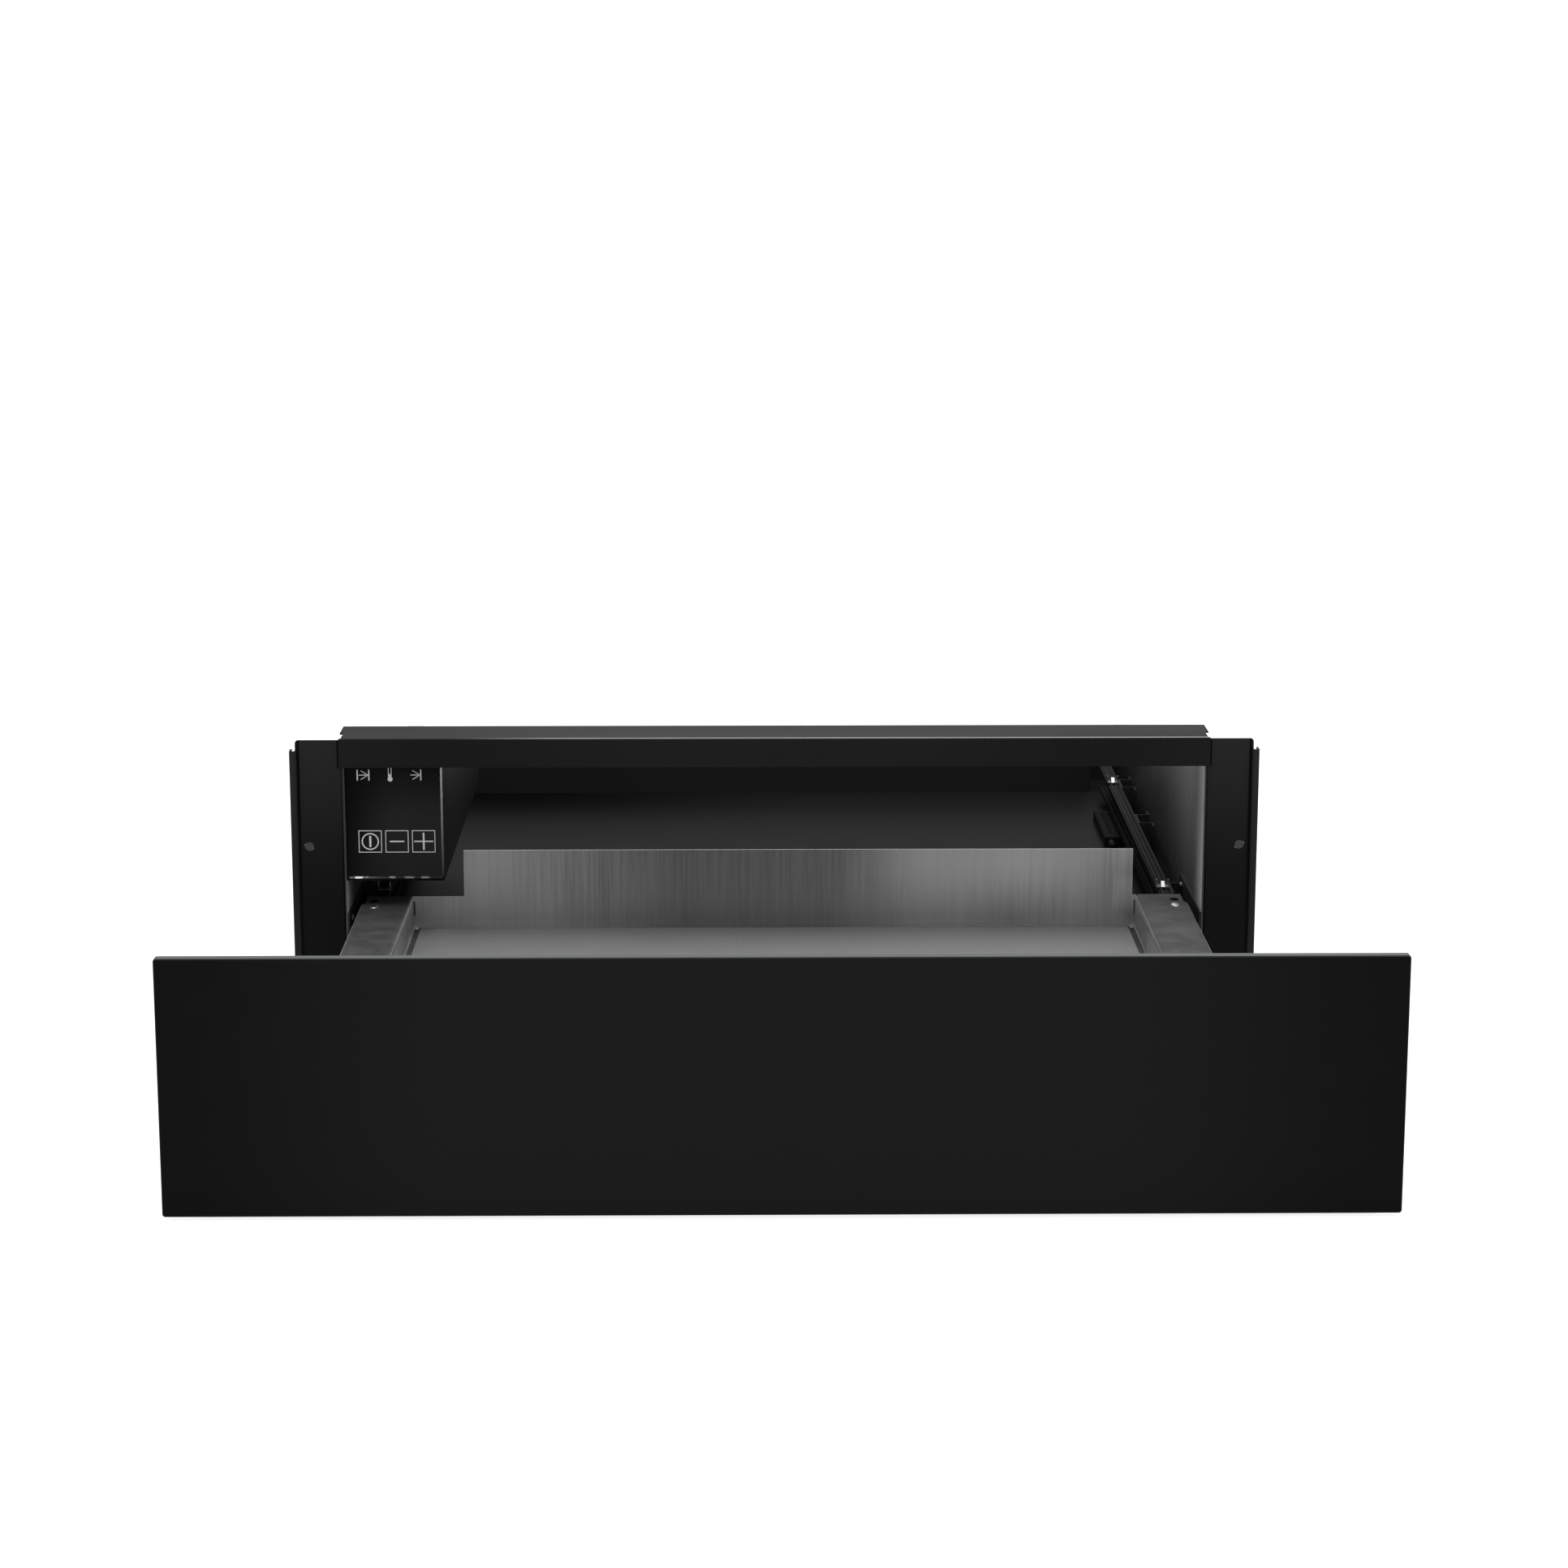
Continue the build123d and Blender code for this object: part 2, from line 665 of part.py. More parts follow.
# ---- ball cages: a bent strip with a row of balls above and below, each ball six-sided
outer_cage_y = (cabinet_rail_y + middle_rail_y + slide_length) / 2 - cage_length / 2
inner_cage_y = (middle_rail_y + drawer_rail_y + slide_length) / 2 - cage_length / 2
ball_pitch = cage_length / balls_per_row
cages = {
    "outer_cage": (
        outer_cage_y,
        middle_web_x + (slide_side_gap - cage_sheet) / 2,
        x0 + outer_cage_lip_x,
        middle_bottom - race_gap / 2,
        middle_top + race_gap / 2,
    ),
    "inner_cage": (
        inner_cage_y,
        inner_flange_x + inner_cage_gap,
        x0 + inner_cage_lip_x,
        inner_bottom - inner_race_gap / 2,
        inner_top + inner_race_gap / 2,
    ),
}
for side in ("left", "right"):
    for cage_name, (cage_y, web_x, lip_x, low_z, high_z) in cages.items():
        ball_x = (lip_x + web_x) / 2
        with BuildPart() as ball_cage:
            with BuildSketch(section_at(cage_y)):
                with Locations((web_x, (low_z + high_z) / 2)):
                    Rectangle(cage_sheet, high_z - low_z + cage_sheet, align=(Align.MIN, Align.CENTER))
                with Locations((lip_x, low_z), (lip_x, high_z)):
                    Rectangle(web_x + cage_sheet - lip_x, cage_sheet, align=(Align.MIN, Align.CENTER))
            extrude(amount=-cage_length)
            ball_rows = [
                (cage_y + n * ball_pitch + ball_pitch / 2, z)
                for n in range(balls_per_row)
                for z in (low_z, high_z)
            ]
            with BuildSketch(Plane.YZ.offset(ball_x - ball_radius)):
                with Locations(*ball_rows):
                    RegularPolygon(ball_radius, hexagon)
            extrude(amount=2 * ball_radius)
            if side == "left":
                mirror(about=Plane.YZ, mode=Mode.REPLACE)
        ball_cage.part.label = f"{cage_name}_{side}"
        export_step(ball_cage.part, f"parts/{cage_name}_{side}.step")

# ---- bright spring clips that lock each cabinet member onto its brackets
clip_left_x = (x0 + x1 - clip_width) / 2
clip_right_x = clip_left_x + clip_width - clip_sheet
clip_z = z1 + bead_height
for side in ("left", "right"):
    with BuildPart() as rail_clips:
        for seat in (front_seat, rear_seat):
            clip_y = flange_y + seat
            with BuildSketch(section_at(clip_y - clip_length / 2)):
                with Locations((clip_left_x, clip_z)):
                    Rectangle(clip_width, clip_sheet, align=(Align.MIN, Align.MIN))
            extrude(amount=-clip_length)
            with BuildSketch(section_at(clip_y)):
                with Locations((clip_left_x, clip_z), (clip_right_x, clip_z)):
                    Rectangle(clip_sheet, clip_height, align=(Align.MIN, Align.MIN))
            extrude(amount=-clip_ear_length)
            with BuildSketch(Plane.YZ.offset((x0 + x1 - clip_tongue_width) / 2)):
                with BuildLine():
                    Polyline(
                        (clip_y - clip_length / 2, clip_z + clip_sheet),
                        (clip_y - clip_length / 2 + clip_sheet, clip_z + clip_sheet),
                        (clip_y + clip_sheet, clip_z + clip_height - clip_sheet),
                        (clip_y, clip_z + clip_height - clip_sheet),
                        close=True,
                    )
                make_face()
            extrude(amount=clip_tongue_width)
        if side == "left":
            mirror(about=Plane.YZ, mode=Mode.REPLACE)
    rail_clips.part.label = f"rail_clips_{side}"
    export_step(rail_clips.part, f"parts/rail_clips_{side}.step")

# ================================================================ control unit
fascia_y = flange_y + fascia_setback
control_y = fascia_y + fascia_sheet
fascia_mid = (fascia_left + fascia_right) / 2
housing_under = fascia_bottom - housing_drop
power_board_y = flange_y + power_board_setback

# ---- glossy touch panel, rounded at its free lower corner
with BuildPart() as touch_panel:
    with BuildSketch(section_at(fascia_y)):
        with Locations((fascia_left + fascia_side_gap, fascia_bottom + bezel_width)):
            Rectangle(
                fascia_width - fascia_side_gap - bezel_width,
                fascia_top - fascia_bottom - bezel_width,
                align=(Align.MIN, Align.MIN),
            )
    extrude(amount=-fascia_sheet)
    free_corner = touch_panel.edges().filter_by(Axis.Y).group_by(Axis.Z)[0].sort_by(Axis.X)[-1]
    fillet(free_corner, radius=bezel_corner - bezel_width)
touch_panel.part.label = "touch_panel"
export_step(touch_panel.part, "parts/touch_panel.step")

# ---- bright bezel along the panel's bottom and free side
with BuildPart() as panel_bezel:
    with BuildSketch(section_at(fascia_y - bezel_proud)):
        with BuildLine():
            FilletPolyline(
                (fascia_left + fascia_side_gap, fascia_bottom),
                (fascia_right, fascia_bottom),
                (fascia_right, fascia_top),
                radius=bezel_corner,
            )
            offset(amount=bezel_width, side=Side.LEFT)
        make_face()
    extrude(amount=-fascia_sheet - bezel_proud)
panel_bezel.part.label = "panel_bezel"
export_step(panel_bezel.part, "parts/panel_bezel.step")

# ---- housing behind the panel, its top sloping like the side wall
with BuildPart() as control_housing:
    with BuildSketch(Plane.YZ.offset(fascia_left)):
        with BuildLine():
            Polyline(
                (control_y, housing_under),
                (flange_y + control_depth, housing_under),
                (flange_y + control_depth, control_rear_height),
                (slope_start_y, fascia_top),
                (control_y, fascia_top),
                close=True,
            )
        make_face()
    extrude(amount=fascia_width)
    mouth = control_housing.faces().sort_by(Axis.Y)[0]
    offset(amount=-control_wall, openings=mouth)
    with BuildSketch(Plane.XY.offset(housing_under + control_wall)):
        with Locations((fascia_mid, power_board_y)):
            with GridLocations(boss_span, boss_span_y, 2, 2):
                RegularPolygon(boss_radius, hexagon)
    extrude(amount=boss_height)
control_housing.part.label = "control_housing"
export_step(control_housing.part, "parts/control_housing.step")

# ---- touch circuit on the back of the panel
with BuildPart() as touch_board:
    with BuildSketch(section_at(control_y)):
        with Locations((fascia_mid, (fascia_bottom + fascia_top) / 2)):
            Rectangle(
                fascia_width - 2 * touch_board_margin,
                fascia_top - fascia_bottom - 2 * touch_board_margin_z,
            )
    extrude(amount=-board_sheet)
touch_board.part.label = "touch_board"
export_step(touch_board.part, "parts/touch_board.step")

# ---- power board on the housing's four bosses, with a block for each large component
board_z = housing_under + control_wall + boss_height
with BuildPart() as power_board:
    with BuildSketch(Plane.XY.offset(board_z)):
        with Locations((fascia_mid, power_board_y)):
            Rectangle(power_board_width, power_board_length)
    extrude(amount=board_sheet)
    with Locations((fascia_mid, power_board_y + transformer_y, board_z + board_sheet)):
        Box(*transformer, align=(Align.CENTER, Align.CENTER, Align.MIN))
    with Locations(
        (fascia_mid - relay_x, power_board_y + relay_y, board_z + board_sheet),
        (fascia_mid + relay_x, power_board_y + relay_y, board_z + board_sheet),
    ):
        Box(*relay, align=(Align.CENTER, Align.CENTER, Align.MIN))
    with Locations((fascia_mid, power_board_y + connector_y, board_z + board_sheet)):
        Box(*connector, align=(Align.CENTER, Align.CENTER, Align.MIN))
    with BuildSketch(Plane.XY.offset(board_z + board_sheet)):
        with Locations((fascia_mid, power_board_y + capacitor_y)):
            with GridLocations(2 * capacitor_x, 1, 2, 1):
                RegularPolygon(capacitor_radius, octagon)
    extrude(amount=capacitor_height)
power_board.part.label = "power_board"
export_step(power_board.part, "parts/power_board.step")

# ================================================================ duct, fan and heater
# ---- front of the duct, slotted above the tray's path
with BuildPart() as duct_front:
    with BuildSketch(section_at(duct_front_y)):
        with Locations((0, (floor_top + duct_height) / 2)):
            Rectangle(2 * duct_half_width, duct_height - floor_top)
        with Locations((0, outlet_bottom + outlet_height / 2)):
            with GridLocations(outlet_pitch, 1, outlet_count, 1):
                Rectangle(outlet_width, outlet_height, mode=Mode.SUBTRACT)
    extrude(amount=-body_sheet)
duct_front.part.label = "duct_front"
export_step(duct_front.part, "parts/duct_front.step")

# ---- lid and ends of the duct, with the air intake cut in the lid
duct_y = duct_front_y + body_sheet
duct_inside = body_back_y - body_sheet - duct_y
with BuildPart() as duct_cover:
    with BuildSketch(Plane.XY.offset(floor_top)):
        with Locations((0, duct_y)):
            Rectangle(2 * duct_half_width, duct_inside, align=(Align.CENTER, Align.MIN))
    extrude(amount=duct_height - floor_top)
    with BuildSketch(Plane.XY.offset(floor_top)):
        with Locations((0, duct_y)):
            Rectangle(2 * (duct_half_width - body_sheet), duct_inside, align=(Align.CENTER, Align.MIN))
    extrude(amount=duct_height - floor_top - body_sheet, mode=Mode.SUBTRACT)
    with BuildSketch(Plane.XY.offset(duct_height - body_sheet)):
        with Locations((intake_x, duct_y + duct_inside / 2)):
            with GridLocations(intake_pitch, 1, intake_count, 1):
                Rectangle(intake_width, intake_length)
    extrude(amount=body_sheet, mode=Mode.SUBTRACT)
duct_cover.part.label = "duct_cover"
export_step(duct_cover.part, "parts/duct_cover.step")

# ---- crossflow rotor: curved blades between two discs, on one shaft
shaft_length = fan_length + 2 * fan_shaft_reach
with BuildSketch() as blade:
    with BuildLine():
        Polyline(
            (fan_radius - blade_depth, 0),
            (fan_radius - blade_depth / 2, blade_bow),
            (fan_radius - blade_sheet, blade_bow / 2),
            (fan_radius - blade_sheet, blade_bow / 2 - blade_sheet),
            (fan_radius - blade_depth / 2, blade_bow - blade_sheet),
            (fan_radius - blade_depth, -blade_sheet),
            close=True,
        )
    make_face()
with BuildPart() as fan_rotor:
    with BuildSketch(Plane.YZ.offset(-fan_length / 2)):
        with Locations((fan_y, fan_axis_height)):
            with PolarLocations(0, fan_blades):
                add(blade.sketch)
    extrude(amount=fan_length)
    with BuildSketch(Plane.YZ.offset(-fan_length / 2)):
        with Locations((fan_y, fan_axis_height)):
            Circle(fan_radius)
    extrude(amount=disc_thickness)
    with BuildSketch(Plane.YZ.offset(fan_length / 2)):
        with Locations((fan_y, fan_axis_height)):
            Circle(fan_radius)
    extrude(amount=-disc_thickness)
    with BuildSketch(Plane.YZ.offset(-shaft_length / 2)):
        with Locations((fan_y, fan_axis_height)):
            Circle(fan_shaft_radius)
    extrude(amount=shaft_length)
fan_rotor.part.label = "fan_rotor"
export_step(fan_rotor.part, "parts/fan_rotor.step")

# ---- air guide wrapped round the back and underside of the rotor, on a rib to the floor
guide_radius = fan_radius + guide_gap
guide_length = fan_length - 2 * guide_end_gap
with BuildPart() as air_guide:
    with BuildSketch(Plane.YZ.offset(-guide_length / 2)):
        with BuildLine():
            CenterArc((fan_y, fan_axis_height), guide_radius, guide_start, guide_sweep)
            offset(amount=guide_sheet, side=Side.RIGHT)
        make_face()
        with Locations((fan_y, floor_top)):
            Rectangle(
                guide_sheet,
                fan_axis_height - guide_radius - guide_sheet / 2 - floor_top,
                align=(Align.CENTER, Align.MIN),
            )
    extrude(amount=guide_length)
air_guide.part.label = "air_guide"
export_step(air_guide.part, "parts/air_guide.step")

# ---- motor at the rotor's left end: square stack, coil behind, strap bored for the shaft
motor_front_x = -fan_length / 2 - motor_gap
motor_bore = fan_shaft_radius + shaft_clearance
motor_start_x = motor_front_x - motor_boss_length - motor_length
motor_mid_x = motor_start_x + motor_length / 2
with BuildPart() as fan_motor:
    with BuildSketch(Plane.YZ.offset(motor_mid_x - motor_stack / 2)):
        with Locations((fan_y, fan_axis_height)):
            Rectangle(motor_size, motor_size)
    extrude(amount=motor_stack)
    with BuildSketch(Plane.YZ.offset(motor_start_x)):
        with Locations((fan_y, fan_axis_height)):
            Rectangle(*motor_strap)
    extrude(amount=motor_length)
    with Locations((motor_mid_x, fan_y + motor_size / 2, fan_axis_height)):
        Box(*motor_coil, align=(Align.CENTER, Align.MAX, Align.CENTER))
    with BuildSketch(Plane.YZ.offset(motor_start_x + motor_length)):
        with Locations((fan_y, fan_axis_height)):
            RegularPolygon(motor_boss_radius, octagon)
    extrude(amount=motor_boss_length)
    with BuildSketch(Plane.YZ.offset(motor_front_x)):
        with Locations((fan_y, fan_axis_height)):
            Circle(motor_bore)
    extrude(amount=-motor_bore_depth, mode=Mode.SUBTRACT)
fan_motor.part.label = "fan_motor"
export_step(fan_motor.part, "parts/fan_motor.step")

# ---- saddle under the motor, with a low cheek on either side of the stack
saddle_opening = motor_size + 2 * seat_clearance
with BuildPart() as motor_saddle:
    with BuildSketch(Plane.YZ.offset(motor_start_x + saddle_inset)):
        with Locations((fan_y, floor_top)):
            Rectangle(
                saddle_opening + 2 * saddle_cheek,
                saddle_height,
                align=(Align.CENTER, Align.MIN),
            )
        with Locations((fan_y, fan_axis_height - motor_size / 2)):
            Rectangle(
                saddle_opening,
                saddle_height,
                align=(Align.CENTER, Align.MIN),
                mode=Mode.SUBTRACT,
            )
    extrude(amount=motor_length - 2 * saddle_inset)
motor_saddle.part.label = "motor_saddle"
export_step(motor_saddle.part, "parts/motor_saddle.step")

# ---- square bush at the rotor's right end, and the post that holds it
bush_x = fan_length / 2 + bush_gap
with BuildPart() as bearing_bush:
    with BuildSketch(Plane.YZ.offset(bush_x)):
        with Locations((fan_y, fan_axis_height)):
            Rectangle(bush_size, bush_size)
            Circle(motor_bore, mode=Mode.SUBTRACT)
    extrude(amount=bush_length)
bearing_bush.part.label = "bearing_bush"
export_step(bearing_bush.part, "parts/bearing_bush.step")

post_x = bush_x + bush_length - post_sheet
post_window = bush_size + 2 * seat_clearance
with BuildPart() as bearing_post:
    with BuildSketch(Plane.YZ.offset(post_x)):
        with Locations((fan_y, floor_top)):
            Rectangle(post_width, post_height, align=(Align.CENTER, Align.MIN))
        with Locations((fan_y, fan_axis_height)):
            Rectangle(post_window, post_window, mode=Mode.SUBTRACT)
    extrude(amount=post_sheet)
    with BuildSketch(Plane.XY.offset(floor_top)):
        with Locations((post_x, fan_y)):
            Rectangle(post_foot, post_width, align=(Align.MIN, Align.CENTER))
    extrude(amount=post_sheet)
bearing_post.part.label = "bearing_post"
export_step(bearing_post.part, "parts/bearing_post.step")

# ---- sheathed heating element in front of the rotor, bent back on itself at the right;
# its round section is drawn eight-sided
heater_y = duct_front_y + heater_gap
heater_start_x = -fan_length / 2
heater_bend_x = fan_length / 2 - heater_pitch / 2
heater_low = fan_axis_height - heater_pitch / 2
heater_high = fan_axis_height + heater_pitch / 2
with BuildPart() as heating_element:
    with BuildLine():
        lower_run = Line((heater_start_x, heater_y, heater_low), (heater_bend_x, heater_y, heater_low))
        ThreePointArc(
            (heater_bend_x, heater_y, heater_low),
            (heater_bend_x + heater_pitch / 2, heater_y, fan_axis_height),
            (heater_bend_x, heater_y, heater_high),
        )
        Line((heater_bend_x, heater_y, heater_high), (heater_start_x, heater_y, heater_high))
    with BuildSketch(Plane(origin=lower_run @ 0, z_dir=lower_run % 0)):
        RegularPolygon(heater_radius, octagon)
    sweep()
heating_element.part.label = "heating_element"
export_step(heating_element.part, "parts/heating_element.step")

# ---- clips on the back of the duct's front that the element's two runs press into
with BuildPart() as heater_holders:
    for holder_x in (-holder_span / 2, holder_span / 2):
        with BuildSketch(Plane.YZ.offset(holder_x)):
            with Locations((duct_y, fan_axis_height)):
                Rectangle(heater_y + holder_hook - duct_y, holder_height, align=(Align.MIN, Align.CENTER))
            with Locations((heater_y, heater_low), (heater_y, heater_high)):
                RegularPolygon(heater_radius + seat_clearance, octagon, mode=Mode.SUBTRACT)
        extrude(amount=holder_sheet)
heater_holders.part.label = "heater_holders"
export_step(heater_holders.part, "parts/heater_holders.step")

# ---- overheat cut-out and temperature sensor, both hung from the duct's lid
lid_under = duct_height - body_sheet
cutout_x = motor_start_x - cutout_gap
sensor_x = bush_x + bush_length + sensor_gap
with BuildPart() as thermal_cutout:
    with BuildSketch(Plane.XY.offset(lid_under)):
        with Locations((cutout_x, fan_y)):
            Rectangle(cutout_flange, cutout_radius)
    extrude(amount=-holder_sheet)
    with BuildSketch(Plane.XY.offset(lid_under)):
        with Locations((cutout_x, fan_y)):
            Circle(cutout_radius)
    extrude(amount=-cutout_depth)
thermal_cutout.part.label = "thermal_cutout"
export_step(thermal_cutout.part, "parts/thermal_cutout.step")

with BuildPart() as temperature_sensor:
    with BuildSketch(Plane.XY.offset(lid_under)):
        with Locations((sensor_x, fan_y)):
            Rectangle(sensor_width, sensor_width)
    extrude(amount=-sensor_block)
    with BuildSketch(Plane.XY.offset(lid_under - sensor_block)):
        with Locations((sensor_x, fan_y)):
            Circle(sensor_radius)
    extrude(amount=-sensor_reach)
temperature_sensor.part.label = "temperature_sensor"
export_step(temperature_sensor.part, "parts/temperature_sensor.step")

# ---- terminal block with a well for the clamp of each pole
with BuildPart() as terminal_block:
    with BuildSketch(Plane.XY.offset(floor_top)):
        with Locations((gland_x + terminal_offset, fan_y)):
            Rectangle(terminal_width, terminal_depth)
    extrude(amount=terminal_height)
    with BuildSketch(Plane.XY.offset(floor_top + terminal_height)):
        with Locations((gland_x + terminal_offset, fan_y)):
            with GridLocations(terminal_width / terminal_poles, 1, terminal_poles, 1):
                Rectangle(terminal_well_width, terminal_well_length)
    extrude(amount=-terminal_well_depth, mode=Mode.SUBTRACT)
terminal_block.part.label = "terminal_block"
export_step(terminal_block.part, "parts/terminal_block.step")

# ---- gland in the back panel: hexagon outside, neck through the sheet, nut inside
with BuildPart() as mains_gland:
    with BuildSketch(section_at(body_back_y)):
        with Locations((gland_x, gland_height)):
            RegularPolygon(gland_radius, hexagon)
    extrude(amount=-gland_reach)
    chamfer(mains_gland.faces().sort_by(Axis.Y)[-1].edges(), length=gland_chamfer)
    with BuildSketch(section_at(body_back_y - body_sheet)):
        with Locations((gland_x, gland_height)):
            Circle(gland_neck_radius)
    extrude(amount=-body_sheet)
    with BuildSketch(section_at(body_back_y - body_sheet)):
        with Locations((gland_x, gland_height)):
            RegularPolygon(gland_nut_radius, hexagon)
    extrude(amount=gland_nut_length)
    with BuildSketch(section_at(body_back_y + gland_reach)):
        with Locations((gland_x, gland_height)):
            Circle(gland_bore)
    extrude(amount=gland_reach + body_sheet + gland_nut_length, mode=Mode.SUBTRACT)
mains_gland.part.label = "mains_gland"
export_step(mains_gland.part, "parts/mains_gland.step")

# ================================================================ push-to-open latch
# ---- body let into the floor's slot, ribbed on top, bored from the front
plunger_z = latch_bottom + latch_height / 2
with BuildPart() as latch_body:
    with BuildSketch(Plane.XY.offset(latch_bottom)):
        with Locations((latch_x, latch_y + latch_length / 2)):
            Rectangle(latch_width, latch_length)
    extrude(amount=latch_height)
    chamfer(latch_body.faces().sort_by(Axis.Z)[-1].edges(), length=latch_chamfer)
    with BuildSketch(Plane.XY.offset(latch_bottom + latch_height)):
        with Locations((latch_x, latch_y + latch_length / 2)):
            with GridLocations(latch_groove_pitch, 1, 2, 1):
                Rectangle(latch_groove, latch_length - latch_width)
    extrude(amount=-latch_groove, mode=Mode.SUBTRACT)
    with BuildSketch(section_at(latch_y)):
        with Locations((plunger_x, plunger_z)):
            Circle(plunger_radius + latch_clearance)
    extrude(amount=-latch_bore_depth, mode=Mode.SUBTRACT)
latch_body.part.label = "latch_body"
export_step(latch_body.part, "parts/latch_body.step")

# ---- plunger, hollow at the back for its spring
spring_hole_radius = plunger_radius - plunger_wall
with BuildPart() as latch_plunger:
    with BuildSketch(section_at(latch_y - plunger_reach)):
        with Locations((plunger_x, plunger_z)):
            Circle(plunger_radius)
    extrude(amount=-(plunger_reach + plunger_inside))
    chamfer(latch_plunger.faces().sort_by(Axis.Y)[0].edges(), length=plunger_nose)
    with BuildSketch(section_at(latch_y + plunger_inside)):
        with Locations((plunger_x, plunger_z)):
            Circle(spring_hole_radius)
    extrude(amount=spring_seat_depth, mode=Mode.SUBTRACT)
latch_plunger.part.label = "latch_plunger"
export_step(latch_plunger.part, "parts/latch_plunger.step")

# ---- spring of square wire, bent in eight-sided turns, from the plunger's hollow backwards
coil_radius = spring_hole_radius - spring_wire - seat_clearance
spring_y = latch_y + plunger_inside - spring_seat_depth + spring_wire
spring_end_y = latch_y + latch_bore_depth - plunger_travel - latch_clearance - spring_wire
coil_steps = octagon * spring_turns
coil_points = [
    (
        plunger_x + coil_radius * cos(radians(360 / octagon * n)),
        spring_y + (spring_end_y - spring_y) * n / coil_steps,
        plunger_z + coil_radius * sin(radians(360 / octagon * n)),
    )
    for n in range(coil_steps + 1)
]
with BuildPart() as latch_spring:
    with BuildLine() as coil:
        Polyline(*coil_points)
    with BuildSketch(Plane(origin=coil.line @ 0, z_dir=coil.line % 0)):
        Rectangle(spring_wire, spring_wire)
    sweep(transition=Transition.RIGHT)
latch_spring.part.label = "latch_spring"
export_step(latch_spring.part, "parts/latch_spring.step")

# ================================================================ drawer
# ---- glass front with a ground edge
with BuildPart() as front_glass:
    with BuildSketch(section_at(front_y)):
        with Locations((0, front_bottom + front_height / 2)):
            RectangleRounded(front_width, front_height, glass_corner)
    extrude(amount=-glass_thickness)
    chamfer(front_glass.faces().sort_by(Axis.Y)[0].edges(), length=glass_chamfer)
front_glass.part.label = "front_glass"
export_step(front_glass.part, "parts/front_glass.step")

# ---- pan behind the glass, open at the back
carrier_width = front_width - 2 * carrier_inset
carrier_height = front_height - 2 * carrier_inset_z
carrier_centre_z = front_bottom + front_height / 2
with BuildPart() as front_carrier:
    with BuildSketch(section_at(glass_back_y)):
        with Locations((0, carrier_centre_z)):
            RectangleRounded(carrier_width, carrier_height, carrier_corner)
    extrude(amount=-(carrier_depth - tray_sheet))
    carrier_back = front_carrier.faces().sort_by(Axis.Y)[-1]
    offset(amount=-tray_sheet, openings=carrier_back)
front_carrier.part.label = "front_carrier"
export_step(front_carrier.part, "parts/front_carrier.step")

# ---- sheet that closes the pan, drilled for the screws of the tray
front_screw_height = tray_floor_top + front_screw_rise
front_screw_start = -front_screw_pitch * (front_screw_count - 1) / 2
front_screw_places = [
    (front_screw_start + n * front_screw_pitch, front_screw_height) for n in range(front_screw_count)
]
with BuildPart() as inner_panel:
    with BuildSketch(section_at(tray_front_y - tray_sheet)):
        with Locations((0, carrier_centre_z)):
            RectangleRounded(carrier_width, carrier_height, carrier_corner)
        with Locations(*front_screw_places):
            RegularPolygon(screw_hole_radius, octagon, mode=Mode.SUBTRACT)
    extrude(amount=-tray_sheet)
inner_panel.part.label = "inner_panel"
export_step(inner_panel.part, "parts/inner_panel.step")

# ---- soft bumpers that meet the flanges when the drawer shuts
bumper_x = carrier_width / 2 - bumper_inset
bumper_low = carrier_centre_z - carrier_height / 2 + bumper_inset_low
bumper_high = carrier_centre_z + carrier_height / 2 - bumper_inset_high
with BuildPart() as front_bumpers:
    with BuildSketch(section_at(tray_front_y)):
        with Locations((0, (bumper_low + bumper_high) / 2)):
            with GridLocations(2 * bumper_x, bumper_high - bumper_low, 2, 2):
                RegularPolygon(bumper_radius, bumper_sides)
    extrude(amount=-(closed_gap - bumper_clearance))
front_bumpers.part.label = "front_bumpers"
export_step(front_bumpers.part, "parts/front_bumpers.step")

